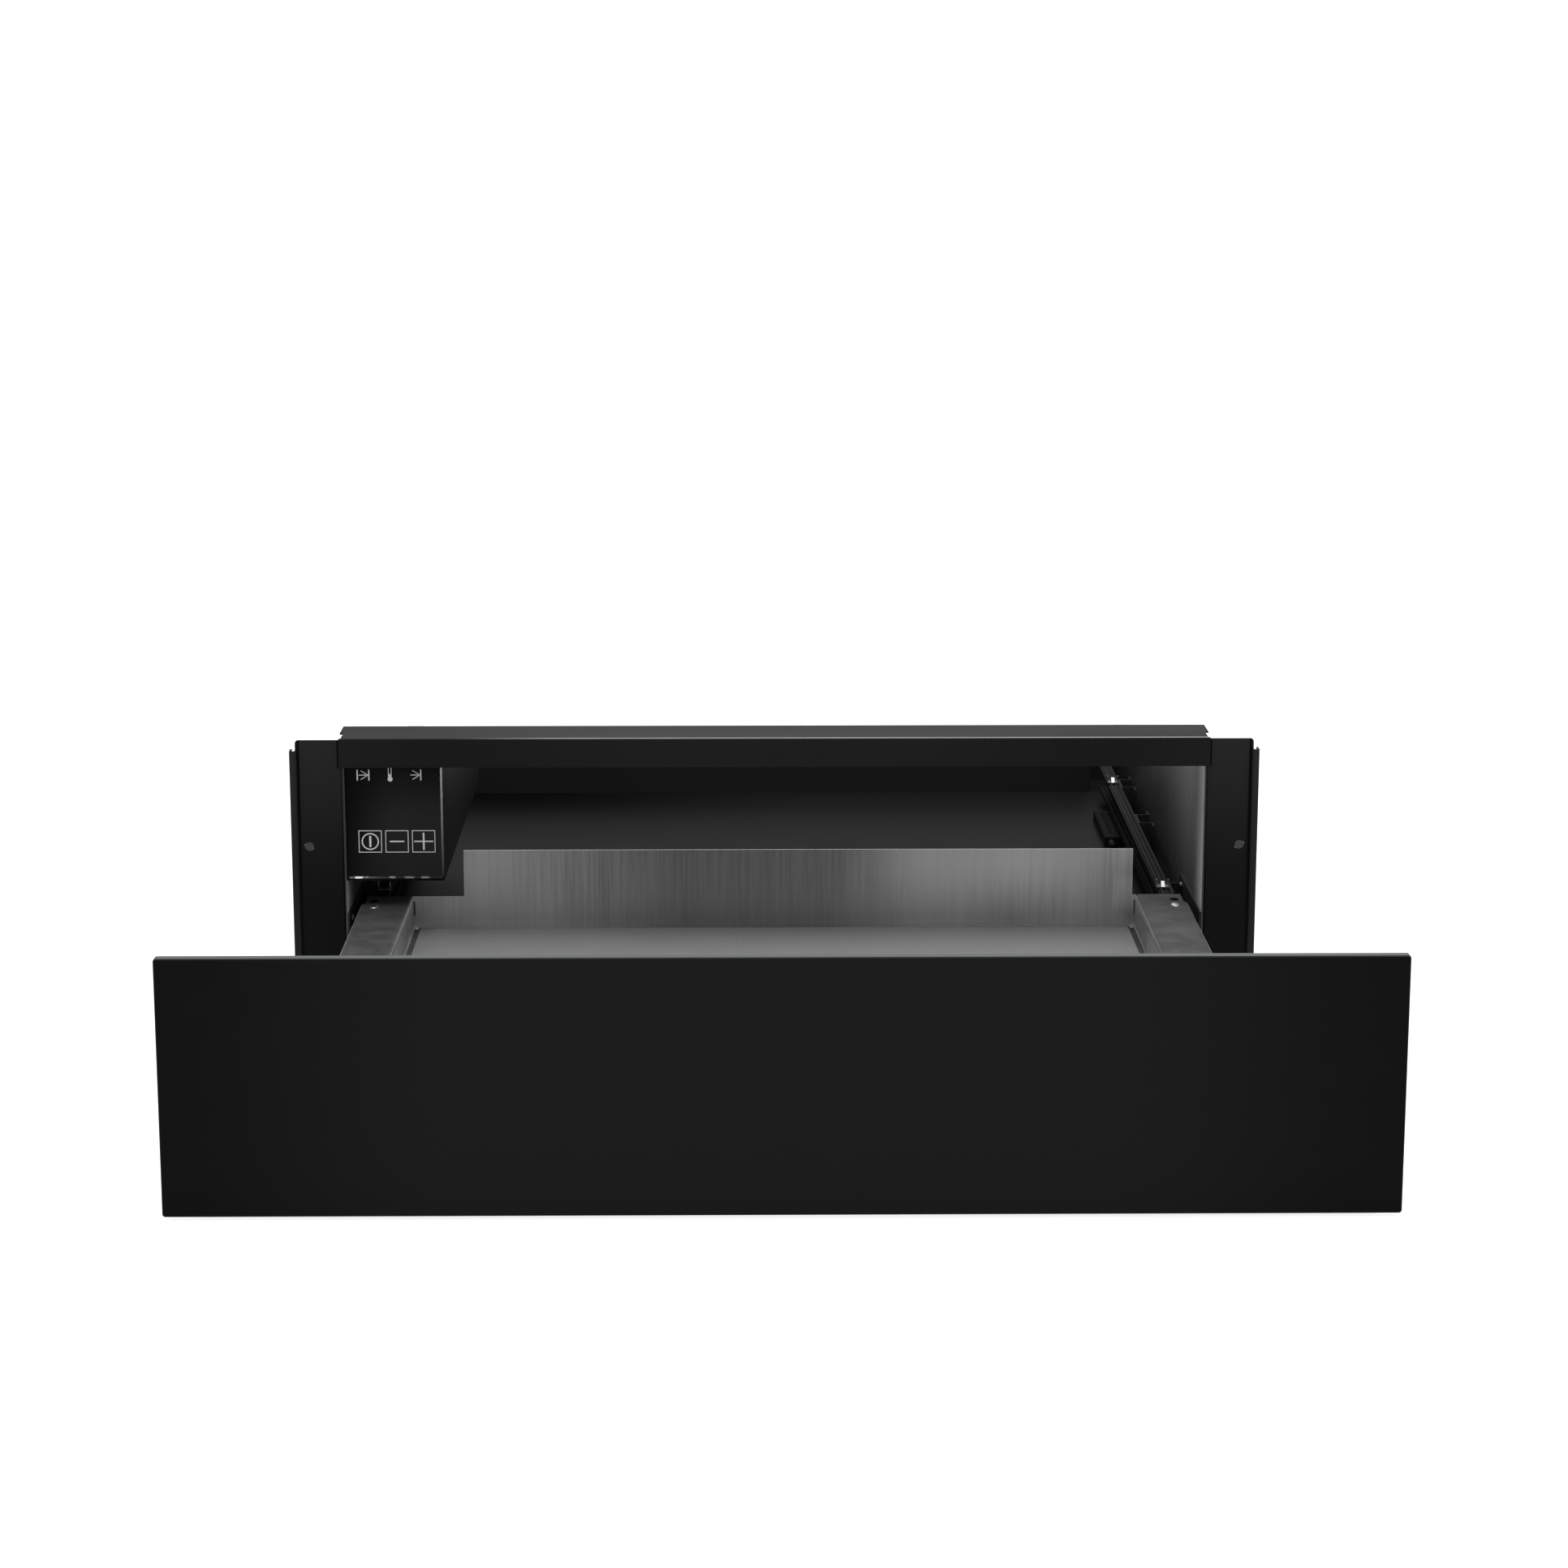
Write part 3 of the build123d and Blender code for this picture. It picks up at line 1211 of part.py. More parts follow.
# ---- tray: well, ledges and lips folded from one sheet, ends closed by walls
back_rise_left = fascia_right + back_rise_gap
back_rise_right = half_well - back_rise_inset
with BuildPart() as tray:
    with BuildSketch(section_at(tray_front_y)):
        tray_line = [
            (-ledge_edge + tray_sheet, ledge_top - ledge_lip_drop),
            (-ledge_edge + tray_sheet, ledge_under),
            (-half_well - tray_sheet, ledge_under),
            (-half_well - tray_sheet, tray_floor_under),
            (half_well + tray_sheet, tray_floor_under),
            (half_well + tray_sheet, ledge_under),
            (ledge_edge - tray_sheet, ledge_under),
            (ledge_edge - tray_sheet, ledge_top - ledge_lip_drop),
        ]
        make_face(folded(tray_line, tray_bend, tray_sheet))
    extrude(amount=-tray_length)
    well_outline = [
        (-half_well - tray_sheet, ledge_top),
        (-half_well - tray_sheet, tray_floor_under),
        (half_well + tray_sheet, tray_floor_under),
        (half_well + tray_sheet, ledge_top),
    ]
    for wall_y in (tray_front_y, tray_back_y - tray_sheet):
        with BuildSketch(section_at(wall_y)):
            with BuildLine():
                wall_edge = FilletPolyline(*well_outline, radius=tray_bend)
                Line(wall_edge @ 1, wall_edge @ 0)
            make_face()
        extrude(amount=-tray_sheet)
    with BuildSketch(section_at(tray_back_y - tray_sheet)):
        with Locations((back_rise_left, tray_floor_under + tray_bend)):
            Rectangle(
                back_rise_right - back_rise_left,
                ledge_top + back_rise - tray_floor_under - tray_bend,
                align=(Align.MIN, Align.MIN),
            )
    extrude(amount=-tray_sheet)
    rise_corners = tray.edges().filter_by(Axis.Y).group_by(Axis.Z)[-1]
    fillet(rise_corners, radius=rise_corner)
    with BuildSketch(section_at(tray_back_y - tray_sheet)):
        with Locations((0, ledge_top - slit_drop)):
            with GridLocations(2 * half_well - slit_width, 1, 2, 1):
                Rectangle(slit_width, slit_height)
    extrude(amount=-tray_sheet, mode=Mode.SUBTRACT)
    with BuildSketch(Plane.XY.offset(tray_floor_under)):
        with Locations((0, tray_back_y - tray_sheet - relief_inset)):
            with GridLocations(2 * (half_well - relief_inset), 1, 2, 1):
                RegularPolygon(relief_radius, octagon)
    extrude(amount=tray_bend, mode=Mode.SUBTRACT)
    with BuildSketch(section_at(tray_front_y)):
        with Locations(*front_screw_places):
            RegularPolygon(screw_hole_radius, octagon)
    extrude(amount=-tray_sheet, mode=Mode.SUBTRACT)
    with BuildSketch(Plane.XY.offset(ledge_top)):
        with Locations((0, tray_back_y)):
            with GridLocations(2 * ledge_edge, 1, 2, 1):
                Rectangle(2 * ledge_notch_width, 2 * ledge_notch_length)
    extrude(amount=-ledge_lip_drop, mode=Mode.SUBTRACT)
    with BuildSketch(Plane.XY.offset(ledge_top)):
        with Locations((0, tray_back_y - dimple_back)):
            with GridLocations(2 * (ledge_edge - dimple_inset), 1, 2, 1):
                Circle(dimple_radius)
    extrude(amount=-tray_sheet, mode=Mode.SUBTRACT)
    round_edges = tray.edges().filter_by(GeomType.CIRCLE).filter_by(lambda e: e.radius == dimple_radius)
    chamfer(round_edges.group_by(Axis.Z)[-1], length=dimple_mouth - dimple_radius)
tray.part.label = "tray"
export_step(tray.part, "parts/tray.step")

# ---- non-slip mat
with BuildPart() as tray_mat:
    with BuildSketch(Plane.XY.offset(tray_floor_top)):
        with Locations((0, (tray_front_y + tray_back_y) / 2)):
            RectangleRounded(
                2 * (half_well - mat_margin),
                tray_length - 2 * tray_sheet - 2 * mat_margin,
                mat_corner,
            )
    extrude(amount=mat_thickness)
tray_mat.part.label = "tray_mat"
export_step(tray_mat.part, "parts/tray_mat.step")

# ---- angles under the ledges that carry the tray on the drawer members
for side in ("left", "right"):
    with BuildPart() as slide_carrier:
        with BuildSketch(section_at(drawer_rail_y)):
            carrier_line = [
                (slide_inner_x, angle_bottom),
                (slide_inner_x, ledge_under),
                (slide_inner_x - angle_width, ledge_under),
            ]
            make_face(folded(carrier_line, small_bend, tray_sheet))
        extrude(amount=-slide_length)
        if side == "left":
            mirror(about=Plane.YZ, mode=Mode.REPLACE)
    slide_carrier.part.label = f"slide_carrier_{side}"
    export_step(slide_carrier.part, f"parts/slide_carrier_{side}.step")

# ---- brackets that tie the ledges to the front
for side in ("left", "right"):
    with BuildPart() as front_bracket:
        with BuildSketch(Plane.YZ.offset(slide_inner_x + front_bracket_gap)):
            front_bracket_line = [
                (tray_front_y, front_bracket_bottom),
                (tray_front_y, ledge_under),
                (tray_front_y + front_bracket_reach, ledge_under),
            ]
            make_face(folded(front_bracket_line, 2 * bracket_sheet, bracket_sheet, Side.RIGHT))
        extrude(amount=front_bracket_width)
        if side == "left":
            mirror(about=Plane.YZ, mode=Mode.REPLACE)
    front_bracket.part.label = f"front_bracket_{side}"
    export_step(front_bracket.part, f"parts/front_bracket_{side}.step")

# ---- striker under the right angle; it reaches the plunger as the drawer shuts
striker_back_y = latch_y - plunger_reach - latch_clearance - travel
with BuildPart() as latch_striker:
    with BuildSketch(Plane.YZ.offset(plunger_x - striker_width / 2)):
        striker_line = [
            (striker_back_y - striker_seat, ledge_under - tray_sheet),
            (striker_back_y, ledge_under - tray_sheet),
            (striker_back_y, striker_bottom),
        ]
        make_face(folded(striker_line, 2 * striker_sheet, striker_sheet, Side.RIGHT))
    extrude(amount=striker_width)
latch_striker.part.label = "latch_striker"
export_step(latch_striker.part, "parts/latch_striker.step")

# ---- hexagon-headed screws through the tray's front wall into the inner panel, their
# shanks and holes drawn eight-sided
screw_seat_y = tray_front_y + tray_sheet
with BuildPart() as front_screws:
    with BuildSketch(section_at(screw_seat_y)):
        with Locations(*front_screw_places):
            RegularPolygon(screw_head_radius, hexagon)
    extrude(amount=-screw_head_height)
    with BuildSketch(section_at(screw_seat_y)):
        with Locations(*front_screw_places):
            RegularPolygon(screw_radius, octagon)
    extrude(amount=screw_length)
front_screws.part.label = "front_screws"
export_step(front_screws.part, "parts/front_screws.step")
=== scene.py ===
"""Finish of a built-in warming drawer, pulled out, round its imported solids.

The frame is in metres, with +X to the right as the user faces the appliance, +Y back into the
cabinet and +Z up. New pieces are drawn in millimetres in that frame and scaled when finished.
"""
import math

import bmesh
import bpy
from mathutils import Matrix, Vector


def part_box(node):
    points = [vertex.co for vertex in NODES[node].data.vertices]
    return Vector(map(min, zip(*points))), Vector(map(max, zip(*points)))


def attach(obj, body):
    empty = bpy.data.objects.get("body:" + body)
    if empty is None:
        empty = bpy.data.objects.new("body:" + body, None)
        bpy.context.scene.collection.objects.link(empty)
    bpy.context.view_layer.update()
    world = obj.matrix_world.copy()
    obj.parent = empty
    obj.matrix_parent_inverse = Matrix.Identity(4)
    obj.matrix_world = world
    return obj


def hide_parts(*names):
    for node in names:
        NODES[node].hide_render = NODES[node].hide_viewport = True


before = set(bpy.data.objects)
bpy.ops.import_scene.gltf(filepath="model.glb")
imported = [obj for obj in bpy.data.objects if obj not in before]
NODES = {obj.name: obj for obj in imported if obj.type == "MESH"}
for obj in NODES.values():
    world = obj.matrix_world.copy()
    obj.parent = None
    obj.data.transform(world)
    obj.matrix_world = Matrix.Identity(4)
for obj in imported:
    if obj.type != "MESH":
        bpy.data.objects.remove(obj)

bl_info = {
    "name": "Warming Drawer Finish",
    "version": (1, 0, 0),
    "blender": (4, 5, 0),
    "location": "3D View > Sidebar > Warming Drawer",
    "description": "Materials, fittings and studio for a built-in warming drawer",
    "category": "Object",
}

MM = 0.001
SIDES = {"left": -1, "right": 1}
BRACKETS = ("corner_bracket", "middle_bracket", "rear_bracket")
WHITE = (1.0, 1.0, 1.0)

# Reliefs in metres. Grains, streaks, blotches and the like are so many to a metre.
SHEET_RELIEF = 0.02 * MM
STEEL_SMEAR = 14.0
COAT_RELIEF = 0.05 * MM
COAT_GRAIN = 900.0
COAT_BLOTCH = 9.0
PLASTIC_RELIEF = 0.03 * MM
PLASTIC_GRAIN = 1400.0
PLASTIC_DULL = 25.0


def span(node):
    """Lowest and highest corner of a node, in millimetres."""
    low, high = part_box(node)
    return low / MM, high / MM


# ---------------------------------------------------------------- shader helpers
class Signal:
    """A shader socket that adds Math nodes when it takes part in a sum."""

    def __init__(self, graph, socket):
        self.graph = graph
        self.socket = socket

    def _math(self, operation, *values):
        return self.graph.node("ShaderNodeMath", {"operation": operation}, *values)

    def __add__(self, other):
        return self._math("ADD", self, other)

    def __sub__(self, other):
        return self._math("SUBTRACT", self, other)

    def __rsub__(self, other):
        return self._math("SUBTRACT", other, self)

    def __mul__(self, other):
        return self._math("MULTIPLY", self, other)

    def __truediv__(self, other):
        return self._math("DIVIDE", self, other)

    def __mod__(self, other):
        return self._math("FLOORED_MODULO", self, other)

    def __pow__(self, other):
        return self._math("POWER", self, other)

    def __abs__(self):
        return self._math("ABSOLUTE", self)

    def __gt__(self, other):
        return self._math("GREATER_THAN", self, other)

    def __lt__(self, other):
        return self._math("LESS_THAN", self, other)

    __radd__ = __add__
    __rmul__ = __mul__

    def lesser(self, other):
        return self._math("MINIMUM", self, other)

    def ramp(self, low, high, smooth=True):
        """0 below low, 1 above high."""
        kind = "SMOOTHSTEP" if smooth else "LINEAR"
        return self.graph.node(
            "ShaderNodeMapRange", {"interpolation_type": kind}, self, low, high, 0.0, 1.0
        )

    def band(self, rise, fall):
        """1 between two ramps, each given as its low and high end."""
        return self.ramp(*rise) * (1 - self.ramp(*fall))

    def wave(self, pitch):
        """From 1 down to 0 and back within every pitch."""
        return abs((self / pitch) % 1.0 - 0.5) * 2


class Graph:
    """Nodes of one material or world."""

    def __init__(self, tree):
        self.nodes = tree.nodes
        self.links = tree.links

    def put(self, socket, value):
        if isinstance(value, Signal):
            self.links.new(value.socket, socket)
        elif socket.type == "RGBA" and len(value) == 3:
            socket.default_value = (*value, 1.0)
        else:
            socket.default_value = value

    def node(self, kind, settings=None, *inputs, out=None, **named):
        """A node: its settings come first, then the values or links of its sockets."""
        made = self.nodes.new(kind)
        for key, value in (settings or {}).items():
            setattr(made, key, value)
        for socket, value in zip([s for s in made.inputs if s.enabled], inputs):
            self.put(socket, value)
        for key, value in named.items():
            self.put(made.inputs[key], value)
        output = made.outputs[out] if out else next(s for s in made.outputs if s.enabled)
        return Signal(self, output)

    def axes(self, vector):
        """X, Y and Z of a vector."""
        made = self.nodes.new("ShaderNodeSeparateXYZ")
        self.put(made.inputs[0], vector)
        return [Signal(self, s) for s in made.outputs]


class Finish(Graph):
    """One material, built node by node, with a Principled shader at its end."""

    def __init__(self, name):
        self.material = bpy.data.materials.new(name)
        self.material.use_nodes = True
        super().__init__(self.material.node_tree)
        self.shader = self.nodes["Principled BSDF"]
        self._object = None

    def place(self, scale=(1, 1, 1), turn=(0, 0, 0)):
        """Object coordinates, scaled and turned."""
        if self._object is None:
            self._object = self.node("ShaderNodeTexCoord", out="Object")
        return self.node(
            "ShaderNodeMapping", {"vector_type": "POINT"}, self._object, (0, 0, 0), turn, scale
        )

    def noise(self, scale, detail=3.0, rough=0.5, stretch=(1, 1, 1)):
        return self.node(
            "ShaderNodeTexNoise", {}, self.place(stretch), out="Fac",
            Scale=scale, Detail=detail, Roughness=rough,
        )

    def grains(self, scale):
        """One chance value for each cell of a crystal pattern."""
        colour = self.node("ShaderNodeTexVoronoi", {}, self.place(), out="Color", Scale=scale)
        return self.axes(colour)[0]

    def mix(self, factor, first, second):
        """Mix of two colours."""
        return self.node("ShaderNodeMix", {"data_type": "RGBA"}, factor, first, second)

    def normal(self, axis):
        """Share of a face's direction along X, Y or Z."""
        return self.axes(self.node("ShaderNodeNewGeometry", out="Normal"))["XYZ".index(axis)]

    def facing(self, axis):
        """How squarely a face looks along X, Y or Z, either way."""
        return abs(self.normal(axis))

    def bump(self, height, strength, distance):
        made = self.node("ShaderNodeBump", {}, Strength=strength, Distance=distance, Height=height)
        self.put(self.shader.inputs["Normal"], made)

    def set(self, **values):
        for key, value in values.items():
            self.put(self.shader.inputs[key.replace("_", " ")], value)
        return self

    def coat(self, colour, rough, shine, spread=0.08):
        """Powder coat in a colour already worked out: its pitted skin and its shine."""
        skin = self.noise(COAT_GRAIN, detail=2.0)
        self.set(
            Base_Color=colour,
            Roughness=skin * spread + rough,
            Specular_IOR_Level=shine,
        )
        self.bump(skin, strength=0.35, distance=COAT_RELIEF)
        return self.material


def shade(colour, factor):
    """A colour made darker or lighter."""
    return tuple(c * factor for c in colour)


def grey(value, blue=0.0):
    """Neutral colour with a touch more or less blue."""
    return (value, value, value + blue)


def paint(name, colour, rough=0.42, grain=COAT_GRAIN, shine=0.14):
    """Powder-coated sheet: fine pitted skin and faint blotches."""
    f = Finish(name)
    blotch = f.noise(COAT_BLOTCH, detail=4.0)
    skin = f.noise(grain, detail=2.0)
    blotch_spread, skin_spread, centre = 0.12, 0.06, 0.09
    f.set(
        Base_Color=f.mix(blotch, shade(colour, 0.85), shade(colour, 1.2)),
        Roughness=blotch * blotch_spread + skin * skin_spread + (rough - centre),
        Specular_IOR_Level=shine,
    )
    f.bump(skin, strength=0.35, distance=COAT_RELIEF)
    return f.material


def steel(name, colour, rough=0.3, along="Z", scale=420.0):
    """Rolled or brushed sheet: streaks along one axis, uneven shine, faint smears."""
    f = Finish(name)
    drawn_out = 0.02
    stretch = [drawn_out if axis == along else 1 for axis in "XYZ"]
    streak = f.noise(scale, detail=4.0, rough=0.65, stretch=stretch)
    broader = 7
    wide = f.noise(scale / broader, detail=3.0, rough=0.6, stretch=stretch)
    smear = f.noise(STEEL_SMEAR, detail=4.0)
    tone = streak * 0.55 + wide * 0.45
    contrast = 0.35
    dark, light = shade(colour, 1 - contrast), shade(colour, 1 + contrast * 0.5)
    streak_spread, smear_spread, centre = 0.16, 0.14, 0.13
    f.set(
        Base_Color=f.mix(tone.ramp(0.3, 0.7), dark, light),
        Metallic=1.0,
        Roughness=streak * streak_spread + smear * smear_spread + (rough - centre),
    )
    f.bump(streak, strength=0.25, distance=SHEET_RELIEF)
    return f.material


def plastic(name, colour, rough=0.5, shine=0.3):
    """Moulded plastic with a fine spark-eroded grain."""
    f = Finish(name)
    pits = f.noise(PLASTIC_GRAIN, detail=1.0)
    dull = f.noise(PLASTIC_DULL, detail=3.0)
    dull_spread, pit_spread, centre = 0.12, 0.05, 0.08
    f.set(
        Base_Color=f.mix(dull, shade(colour, 0.88), shade(colour, 1.1)),
        Roughness=dull * dull_spread + pits * pit_spread + (rough - centre),
        Specular_IOR_Level=shine,
    )
    f.bump(pits, strength=0.3, distance=PLASTIC_RELIEF)
    return f.material


# ---------------------------------------------------------------- mesh helpers
ROUND_BEVEL = {"segments": 2, "profile": 0.5, "affect": "EDGES", "material": -1}

# Pan head of a small screw, in millimetres, and its driver recess: share of the head's radius
# that each step goes in, and how deep it goes
HEAD_HEIGHT = 1.4
HEAD_SUNK = 0.1
HEAD_EASE = 0.25
HEAD_TAPER = 0.85
RECESS_STEPS = ((0.3, 0.7), (0.2, 0.3))

DOME_ROWS = 12
DOME_SUNK = 0.05


def edges_at(verts):
    """Edges that meet any of these points, each once."""
    return list(dict.fromkeys(e for v in verts for e in v.link_edges))


def link(bm, name, body, material, smooth=False, replaces=()):
    """Closes a bmesh drawn in millimetres into a piece that rides on a body."""
    bmesh.ops.scale(bm, vec=(MM, MM, MM), verts=bm.verts)
    bmesh.ops.recalc_face_normals(bm, faces=bm.faces)
    mesh = bpy.data.meshes.new(name)
    bm.to_mesh(mesh)
    bm.free()
    for polygon in mesh.polygons:
        polygon.use_smooth = smooth
    mesh.materials.append(material)
    made = bpy.data.objects.new(name, mesh)
    bpy.context.scene.collection.objects.link(made)
    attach(made, body)
    if replaces:
        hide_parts(*replaces)
    return made


def block(bm, low, high, bevel=0.0):
    """Box between two corners, its edges eased."""
    made = bmesh.ops.create_cube(bm, size=1.0)["verts"]
    low, high = Vector(low), Vector(high)
    bmesh.ops.scale(bm, vec=high - low, verts=made)
    bmesh.ops.translate(bm, vec=(low + high) / 2, verts=made)
    if bevel:
        bmesh.ops.bevel(bm, geom=edges_at(made), offset=bevel, **ROUND_BEVEL)


def rod(bm, start, end, radius, radius_end=None, sides=24, ease=0.0):
    """Round bar between two points."""
    start, end = Vector(start), Vector(end)
    axis = end - start
    turn = axis.to_track_quat("Z", "Y").to_matrix().to_4x4()
    made = bmesh.ops.create_cone(
        bm, cap_ends=True, segments=sides, radius1=radius,
        radius2=radius if radius_end is None else radius_end, depth=axis.length,
        matrix=Matrix.Translation((start + end) / 2) @ turn,
    )["verts"]
    if ease:
        rims = [e for e in edges_at(made) if any(len(f.verts) > 4 for f in e.link_faces)]
        bmesh.ops.bevel(bm, geom=rims, offset=ease, **ROUND_BEVEL)


def screw(bm, place, way, radius):
    """Pan head with a round driver recess, standing off a face along way."""
    place, way = Vector(place), Vector(way)
    known = set(bm.faces)
    foot, top = place - way * HEAD_SUNK, place + way * HEAD_HEIGHT
    rod(bm, foot, top, radius, radius * HEAD_TAPER, ease=HEAD_EASE)
    added = (f for f in bm.faces if f not in known)
    crown = max(added, key=lambda f: f.calc_center_median().dot(way))
    for share, depth in RECESS_STEPS:
        bmesh.ops.inset_region(bm, faces=[crown], thickness=radius * share, depth=0.0)
        bmesh.ops.translate(bm, vec=way * -depth, verts=crown.verts)


def dome(bm, centre, size):
    """Upper half of a flattened ball standing on a level face."""
    made = bmesh.ops.create_uvsphere(
        bm, u_segments=2 * DOME_ROWS, v_segments=DOME_ROWS, radius=1.0
    )["verts"]
    bmesh.ops.scale(bm, vec=size, verts=made)
    bmesh.ops.translate(bm, vec=centre, verts=made)
    faces = list(dict.fromkeys(f for v in made for f in v.link_faces))
    cut = bmesh.ops.bisect_plane(
        bm, geom=made + edges_at(made) + faces,
        plane_co=Vector(centre) - Vector((0, 0, DOME_SUNK)), plane_no=(0, 0, 1), clear_inner=True,
    )["geom_cut"]
    bmesh.ops.contextual_create(bm, geom=[e for e in cut if isinstance(e, bmesh.types.BMEdge)])


def tube(bm, centre, turn, radius, sides):
    """Ring of edges, ready to be drawn out into a tube."""
    matrix = Matrix.Translation(Vector(centre)) @ turn
    ring = bmesh.ops.create_circle(bm, segments=sides, radius=radius, matrix=matrix)["verts"]
    return edges_at(ring)


def draw_out(bm, edges, vec):
    """Straight run from a ring of edges; returns the ring at its far end."""
    made = bmesh.ops.extrude_edge_only(bm, edges=edges)["geom"]
    bmesh.ops.translate(bm, vec=vec, verts=[v for v in made if isinstance(v, bmesh.types.BMVert)])
    return [e for e in made if isinstance(e, bmesh.types.BMEdge)]


def swing(bm, edges, cent, axis, angle, steps, rise=(0, 0, 0)):
    """Bent or coiled run from a ring of edges; returns the ring at its far end."""
    geom = list(dict.fromkeys(v for e in edges for v in e.verts)) + edges
    made = bmesh.ops.spin(bm, geom=geom, cent=cent, axis=axis, dvec=rise, angle=angle, steps=steps)
    return [e for e in made["geom_last"] if isinstance(e, bmesh.types.BMEdge)]


def close_ends(bm):
    """Caps every open ring."""
    bmesh.ops.holes_fill(bm, edges=[e for e in bm.edges if e.is_boundary], sides=0)


def dress(names, material):
    """Gives CAD nodes a material."""
    for name in names:
        NODES[name].data.materials.clear()
        NODES[name].data.materials.append(material)


def pair(*names):
    """Left and right node of each name."""
    return [f"{name}_{side}" for name in names for side in SIDES]


# ---------------------------------------------------------------- settings
class DrawerFinishes(bpy.types.PropertyGroup):
    """Colours and shine of the drawer."""

    glass_colour: bpy.props.FloatVectorProperty(
        name="Glass", description="Backing colour of the glass front", subtype="COLOR",
        size=3, min=0, max=1, default=(0.0068, 0.0068, 0.007),
    )
    glass_rough: bpy.props.FloatProperty(
        name="Glass roughness", description="Blur of reflections in the glass",
        min=0, max=1, default=0.3,
    )
    paint_colour: bpy.props.FloatVectorProperty(
        name="Paint", description="Powder coat of flanges and bar", subtype="COLOR",
        size=3, min=0, max=1, default=(0.0055, 0.0055, 0.0058),
    )
    tray_colour: bpy.props.FloatVectorProperty(
        name="Tray", description="Steel of the tray", subtype="COLOR",
        size=3, min=0, max=1, default=(0.5, 0.5, 0.5),
    )
    mat_colour: bpy.props.FloatVectorProperty(
        name="Mat", description="Non-slip mat", subtype="COLOR",
        size=3, min=0, max=1, default=(0.165, 0.165, 0.166),
    )
    wall_colour: bpy.props.FloatVectorProperty(
        name="Walls", description="Coated steel of the body's walls", subtype="COLOR",
        size=3, min=0, max=1, default=(0.2, 0.2, 0.203),
    )
    symbol_colour: bpy.props.FloatVectorProperty(
        name="Symbols", description="Printed key symbols", subtype="COLOR",
        size=3, min=0, max=1, default=(0.6, 0.6, 0.6),
    )


class DrawerSizes(bpy.types.PropertyGroup):
    """Sizes of what is drawn on the solids."""

    mat_pitch: bpy.props.FloatProperty(
        name="Mat pitch", description="Distance between the mat's diamonds",
        min=0.0005, max=0.01, default=0.002, unit="LENGTH",
    )
    symbol_line: bpy.props.FloatProperty(
        name="Symbol line", description="Width of the thin lines on the touch panel",
        min=0.0001, max=0.002, default=0.00045, unit="LENGTH",
    )
    key_size: bpy.props.FloatProperty(
        name="Key", description="Side of a key's printed square",
        min=0.005, max=0.03, default=0.014, unit="LENGTH",
    )
    ledge_height: bpy.props.FloatProperty(
        name="Ledge", description="Height of the tray's flat ledges",
        min=0.01, max=0.1, default=0.0363, unit="LENGTH",
    )
    corner_reach: bpy.props.FloatProperty(
        name="Corner", description="Side of the squared corners of the tray's raised wall",
        min=0.001, max=0.01, default=0.0034, unit="LENGTH",
    )
    spring_wire: bpy.props.FloatProperty(
        name="Spring wire", description="Thickness of the latch spring's wire",
        min=0.0003, max=0.002, default=0.0007, unit="LENGTH",
    )
    screw_radius: bpy.props.FloatProperty(
        name="Screw head", description="Radius of the body's small screw heads",
        min=0.001, max=0.005, default=0.003, unit="LENGTH",
    )


class DrawerOperator:
    """What the operators share: they can be undone, and they read the settings."""

    bl_options = {"REGISTER", "UNDO"}

    @property
    def look(self):
        return bpy.context.scene.drawer_finishes

    @property
    def sizes(self):
        return bpy.context.scene.drawer_sizes


# ---------------------------------------------------------------- front
GROUND_GLASS = (0.105, 0.112, 0.11)
GLASS_BORDER = 0.8              # darker border at the ends and below, in millimetres
GLASS_END_SHADE = (0.15, 0.31)       # from the middle, where painted shade darkens the glass towards its ends, in metres
GLASS_GRIND, GLASS_SMUDGE, GLASS_FILM = 2600.0, 5.0, 60.0


class DRAWER_OT_front(DrawerOperator, bpy.types.Operator):
    """Glass front, its carrier, bumpers and screws"""

    bl_idname = "drawer.front"
    bl_label = "Glass front"

    def execute(self, context):
        colour = tuple(self.look.glass_colour)
        low, high = span("front_glass")
        f = Finish("black_glass")
        x, _, z = f.axes(f.place())
        edge = 1 - f.facing("Y").ramp(0.2, 0.9)
        grind = f.noise(GLASS_GRIND, detail=2.0)
        smudge = f.noise(GLASS_SMUDGE, detail=5.0, rough=0.6)
        film = f.noise(GLASS_FILM, detail=3.0)
        border = (abs(x) > (high.x - GLASS_BORDER) * MM) + (z < (low.z + GLASS_BORDER) * MM)
        # Painted reflection: the back paint is lighter in the middle and darker towards the ends.
        backing_with_shade = f.mix(abs(x).ramp(*GLASS_END_SHADE), colour, shade(colour, 0.22))
        backing_with_shade = f.mix(border, backing_with_shade, shade(colour, 0.1))
        face = f.mix(film * 0.2, backing_with_shade, shade(colour, 1.3))
        clear = self.look.glass_rough - 0.06
        f.set(
            Base_Color=f.mix(edge, face, GROUND_GLASS),
            Roughness=edge * 0.25 + smudge * 0.1 + film * 0.02 + clear,
            Specular_IOR_Level=0.045,
        )
        f.bump(grind * edge, strength=0.4, distance=COAT_RELIEF)
        dress(["front_glass"], f.material)
        shell = steel("carrier_steel", grey(0.13, 0.005), rough=0.42, along="X", scale=300.0)
        behind = ["front_carrier", "inner_panel", "latch_striker"]
        dress(behind + pair("front_bracket", "slide_carrier"), shell)
        dress(["front_bumpers"], plastic("bumper_rubber", grey(0.04, 0.002), rough=0.7))
        dress(["front_screws"], steel("screw_zinc", grey(0.55, -0.02), rough=0.3, along="Y"))
        return {"FINISHED"}
